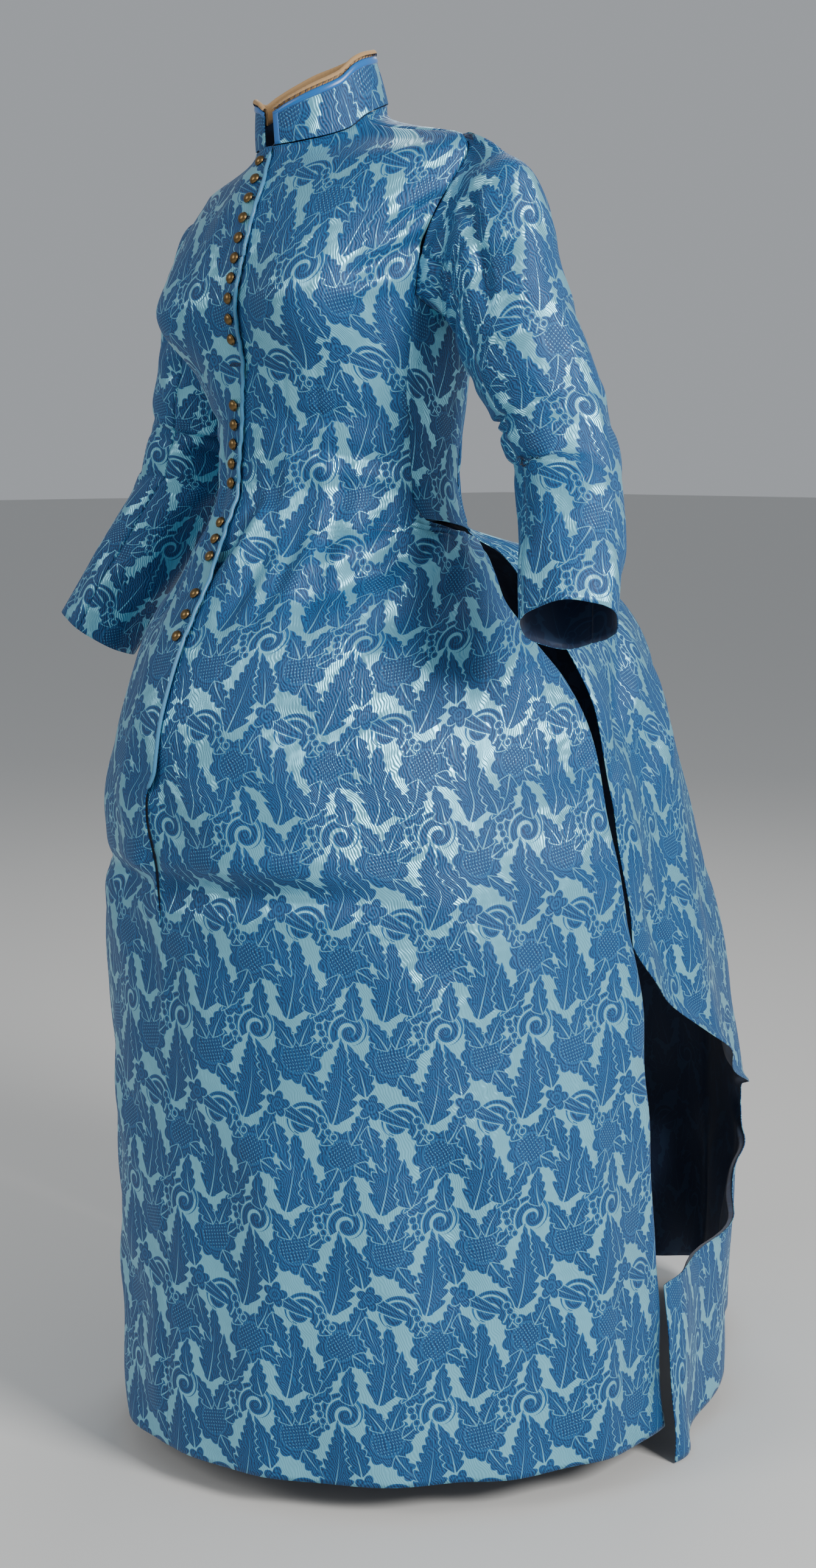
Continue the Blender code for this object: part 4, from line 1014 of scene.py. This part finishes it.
# %% The figure, its ribs and its ground
# a motif's sizes, in the order of its rows below; centres and lengths are in metres
MOTIF_SIZES = {
    leaf: "Turn Length Width Bend Lobes Notch",
    flower: "Turn Radius Petals Depth Ring Seeds",
    curl_band: "Turn Radius Hand Band",
    berries: "Turn Count Size Bend",
}
MOTIFS = (
    # the first pomegranate with its crest
    (flower, -0.022, 0.045, 0.2, 0.0245, 11.0, 0.15, 0.62, 0.45),
    (leaf, -0.026, 0.054, 2.1, 0.042, 0.0085, 0.008, 5.0, 0.35),
    (leaf, -0.018, 0.056, 1.3, 0.04, 0.009, -0.009, 5.0, 0.35),
    (leaf, -0.008, 0.048, 0.55, 0.03, 0.0065, 0.007, 3.0, 0.35),
    (leaf, -0.014, 0.03, -1.05, 0.044, 0.0088, 0.012, 5.0, 0.35),
    # the great scroll beside it, with its bud and berries
    (leaf, 0.012, -0.016, 1.25, 0.078, 0.0165, 0.018, 8.0, 0.35),
    (curl_band, 0.027, 0.07, 0.6, 0.0175, 1.0, 0.003),
    (leaf, 0.042, 0.01, 1.7, 0.05, 0.0105, 0.01, 6.0, 0.35),
    (leaf, 0.034, 0.08, 1.95, 0.038, 0.0095, -0.012, 4.0, 0.35),
    (flower, 0.003, 0.09, 0.5, 0.0125, 5.0, 0.4, 0.36, 9.0),
    (berries, 0.0, 0.074, -1.35, 3.0, 0.0028, 0.0006),
    # the second pomegranate with its star petals and tulip leaf
    (flower, 0.022, -0.045, 0.6, 0.024, 9.0, 0.18, 0.6, 0.45),
    (leaf, 0.03, -0.034, 1.0, 0.04, 0.0092, 0.01, 5.0, 0.35),
    (leaf, 0.012, -0.034, 2.45, 0.034, 0.008, -0.009, 4.0, 0.35),
    (leaf, 0.034, -0.054, -0.45, 0.032, 0.0072, -0.007, 3.0, 0.35),
    (leaf, 0.018, -0.058, -1.9, 0.046, 0.0092, -0.012, 5.0, 0.35),
    # the upright leaf, its curl and the slanting stem
    (leaf, -0.03, -0.1, 1.3, 0.078, 0.0165, 0.014, 8.0, 0.35),
    (curl_band, -0.016, -0.016, 2.4, 0.017, -1.0, 0.0029),
    (leaf, -0.002, -0.094, 2.0, 0.044, 0.0105, -0.012, 5.0, 0.35),
    (leaf, -0.05, 0.006, -0.6, 0.06, 0.0052, 0.008, 1.0, 0.0),
    (leaf, -0.044, -0.018, -1.35, 0.044, 0.0095, 0.008, 5.0, 0.35),
    (flower, -0.041, 0.0, 0.1, 0.012, 5.0, 0.45, 0.36, 9.0),
    (berries, 0.001, -0.012, -1.2, 3.0, 0.0028, 0.0006),
)

MOTIF_GAP = 0.0022
net, given, result = group("Silk Figure", [("Cloth", (0.0, 0.0, 0.0)), ("Spread", 0.0008)],
                           ["Figure", "Inside"])
inside = None
for kind, x, y, *sizes in MOTIFS:
    values = dict(zip(MOTIF_SIZES[kind].split(), sizes))
    one = net.call(kind, Cloth=given["Cloth"], Centre=(x, y, 0), **values)["Inside"]
    if inside is None:
        inside = one
        continue
    # a later motif lies over the earlier ones, with a line of ground round it
    clear = net.math("SUBTRACT", -MOTIF_GAP, one)
    inside = net.math("MAXIMUM", net.math("MINIMUM", inside, clear), one)
inside = net.math("ADD", inside, given["Spread"])
net.tree.links.new(inside, result["Inside"])
net.tree.links.new(net.smooth(inside, -0.0002, 0.0004), result["Figure"])
silk_figure = net.tree

net, given, result = group("Silk Ribs", [("Cloth", (0.0, 0.0, 0.0)), ("Size", 0.0026)], ["Height"])
wander = net.node("ShaderNodeTexNoise", {"Vector": given["Cloth"], "Scale": 60.0, "Detail": 1.0},
                  noise_dimensions="2D").outputs[0]
x, y, _ = net.split(given["Cloth"])
slant = net.math("ADD", net.math("ADD", x, net.math("MULTIPLY", y, 0.45)),
                 net.math("MULTIPLY", wander, 0.010))
wave = net.math("SINE", net.math("MULTIPLY", net.math("DIVIDE", slant, given["Size"]), 2 * math.pi))
net.tree.links.new(wave, result["Height"])
silk_ribs = net.tree
print("figure of", len(MOTIFS), "motifs")


# %% [markdown]
# ## Materials
# The satin ground is smooth and catches the light, so it is part metallic and less rough than the
# figure, whose threads lie matt. The reverse is dark navy with a faint figure. The strip and the
# edge are plain silk, the facing is tan cotton, and the buttons are worn bronze.

# %% Materials
def material(name):
    made = bpy.data.materials.new(name)
    made.use_nodes = True
    net = Net(made.node_tree)
    return made, net, made.node_tree.nodes["Principled BSDF"]


def settings(shader, **values):
    for key, value in values.items():
        shader.inputs[key.replace("_", " ")].default_value = value


# the darkest figure colour is painted shade, for the grooves between the figure's raised ribs
FIGURE_PAINTED_SHADE = (0.002, 0.024, 0.090, 1.0)
FIGURE_BLUE = (0.008, 0.115, 0.310, 1.0)
GROUND_BLUE = (0.200, 0.540, 0.700, 1.0)
REVERSE_NAVY = (0.006, 0.022, 0.075, 1.0)

figured, net, shader = material("figured_silk")
cloth = net.node("ShaderNodeUVMap", uv_map="cloth").outputs[0]
figure = net.call(silk_figure, Cloth=cloth)
ribs = net.call(silk_ribs, Cloth=cloth)["Height"]
# painted shade of the raised ribs: dark lines inside a motif follow its outline, crossed by the slanting
# ribs of the weave, and darken the figure where its relief would lie in shade
contour_shade = net.math("SINE", net.math("MULTIPLY", figure["Inside"], 2 * math.pi / 0.0030))
painted_rib_shade = net.math("ADD", net.math("MULTIPLY", contour_shade, 0.30), net.math("MULTIPLY_ADD", ribs, 0.28, 0.52))
blue = net.blend(net.math("ADD", painted_rib_shade, 0.0, clamp=True), FIGURE_PAINTED_SHADE, FIGURE_BLUE)
colour = net.blend(figure["Figure"], GROUND_BLUE, blue)
net.tree.links.new(colour, shader.inputs["Base Color"])
net.tree.links.new(net.math("MULTIPLY_ADD", figure["Figure"], 0.22, 0.34), shader.inputs["Roughness"])
net.tree.links.new(net.math("MULTIPLY_ADD", figure["Figure"], -0.55, 0.60), shader.inputs["Metallic"])
settings(shader, Sheen_Weight=0.10, Sheen_Roughness=0.35, IOR=1.45)
bump = net.node("ShaderNodeBump", {"Strength": 0.35, "Distance": 0.0005, "Height": ribs})
net.tree.links.new(bump.outputs[0], shader.inputs["Normal"])

reverse, net, shader = material("silk_reverse")
cloth = net.node("ShaderNodeUVMap", uv_map="cloth").outputs[0]
figure = net.call(silk_figure, Cloth=cloth)["Figure"]
colour = net.blend(figure, (0.014, 0.045, 0.120, 1.0), REVERSE_NAVY)
net.tree.links.new(colour, shader.inputs["Base Color"])
settings(shader, Roughness=0.55, Sheen_Weight=0.2)

plain, net, shader = material("plain_silk")
settings(shader, Base_Color=(0.010, 0.130, 0.420, 1.0), Roughness=0.32, Sheen_Weight=0.2)
edge_silk, net, shader = material("edge_silk")
settings(shader, Base_Color=(0.050, 0.210, 0.380, 1.0), Roughness=0.38, Sheen_Weight=0.1)
tan, net, shader = material("tan_cotton")
settings(shader, Base_Color=(0.400, 0.245, 0.110, 1.0), Roughness=0.75, Sheen_Weight=0.1)
thread, net, shader = material("dark_thread")
settings(shader, Base_Color=(0.010, 0.025, 0.070, 1.0), Roughness=0.6)
metal, net, shader = material("button_metal")
settings(shader, Base_Color=(0.190, 0.125, 0.055, 1.0), Metallic=1.0, Roughness=0.36)

WEAR = {"tan_collar_facing": [tan, tan], "silk_collar_strip": [plain, plain],
        "silk_collar_end": [plain, plain], "collar_stitches": [thread], "front_edge_roll": [edge_silk],
        "buttonhole_stitching": [thread]}
for name, piece in pieces.items():
    worn = WEAR.get(name) or ([metal] if name.startswith("metal_button") else [figured, reverse])
    for one in worn:
        piece.data.materials.append(one)
print("materials:", [m.name for m in bpy.data.materials])

# %% [markdown]
# ## Flat sizes of the cloth pieces
# A library that reuses the dress has to know how much silk is in it, so the flat size each cut
# piece was cut to is listed here. The area of one layer is measured on the finished mesh and printed
# beside it.

FLAT = {"silk_front_left": (0.66, 1.30), "silk_front_right": (0.62, 1.30), "silk_side_left": (0.12, 0.24),
        "silk_side_right": (0.12, 0.24), "silk_back_left": (0.22, 0.44), "silk_back_right": (0.22, 0.44),
        "silk_back_drape": (1.15, 1.10), "silk_sleeve_upper_left": (0.22, 0.56),
        "silk_sleeve_upper_right": (0.22, 0.56), "silk_sleeve_under_left": (0.16, 0.50),
        "silk_sleeve_under_right": (0.16, 0.50), "silk_collar": (0.39, 0.05)}
for name, flat in FLAT.items():
    mesh = pieces[name].data
    areas = np.zeros(len(mesh.polygons))
    mesh.polygons.foreach_get("area", areas)
    layer = float(areas.sum() / 2)
    share = min(max(layer * 1.02, 0.31 * flat[0] * flat[1]), flat[0] * flat[1])
    print(name, "one layer", round(layer, 4), "of", round(flat[0] * flat[1], 4))

# %% [markdown]
# ## Room
# A pale floor and three soft boxes: a square one at the wearer's left lights the satin from the
# side, one in front fills, and one behind parts the back from the floor. The camera stands at
# waist height in front of the wearer's left side.

# %% Floor, light and camera
lowest = cad_box[0][2] - 0.002
mesh = bpy.data.meshes.new("floor")
mesh.from_pydata([(-40, -40, lowest), (40, -40, lowest), (40, 40, lowest), (-40, 40, lowest)], [],
                 [(0, 1, 2, 3)])
floor = bpy.data.objects.new("floor", mesh)
bpy.context.collection.objects.link(floor)
pale, net, shader = material("pale_floor")
settings(shader, Base_Color=(0.62, 0.62, 0.61, 1.0), Roughness=0.9)
floor.data.materials.append(pale)

world = bpy.data.worlds.new("studio")
world.use_nodes = True
world.node_tree.nodes["Background"].inputs["Color"].default_value = (0.86, 0.90, 0.95, 1.0)
world.node_tree.nodes["Background"].inputs["Strength"].default_value = 0.42
bpy.context.scene.world = world


def area_light(name, place, aim, size, energy, colour=(1.0, 0.98, 0.95)):
    lamp = bpy.data.lights.new(name, "AREA")
    lamp.size, lamp.energy, lamp.color = size, energy, colour
    made = bpy.data.objects.new(name, lamp)
    bpy.context.collection.objects.link(made)
    made.location = place
    made.rotation_mode = "QUATERNION"
    made.rotation_quaternion = (Vector(aim) - Vector(place)).to_track_quat("-Z", "Y")


area_light("key", (2.9, 0.15, 0.9), (0.1, 0.1, -0.35), 1.0, 125)
area_light("front", (-0.6, -3.0, 1.2), (0.0, 0.0, -0.2), 1.4, 34)
area_light("back", (-1.6, 2.2, 1.8), (0.0, 0.2, -0.2), 1.5, 30)

azimuth, pitch, yaw = math.radians(50), math.atan(545 / 3845), math.atan((504 - 670) / 3845)
straight = np.array([-math.sin(azimuth), math.cos(azimuth), 0.0])
right = np.array([math.cos(azimuth), math.sin(azimuth), 0.0])
ahead = straight * math.cos(yaw) - right * math.sin(yaw)
right = right * math.cos(yaw) + straight * math.sin(yaw)
forward = ahead * math.cos(pitch) - np.array([0, 0, math.sin(pitch)])
up = np.array([0, 0, math.cos(pitch)]) + ahead * math.sin(pitch)
camera_data = bpy.data.cameras.new("camera")
camera = bpy.data.objects.new("camera", camera_data)
bpy.context.collection.objects.link(camera)
pose = Matrix(np.column_stack([right, up, -forward]).tolist()).to_4x4()
pose.translation = (math.sin(azimuth) * 2.276, -math.cos(azimuth) * 2.276, 0.95 - HOLD_HEIGHT)
camera.matrix_world = pose
camera_data.sensor_fit = "VERTICAL"
camera_data.sensor_height = 36
camera_data.lens = 53.73
camera_data.dof.use_dof = False
bpy.context.scene.camera = camera
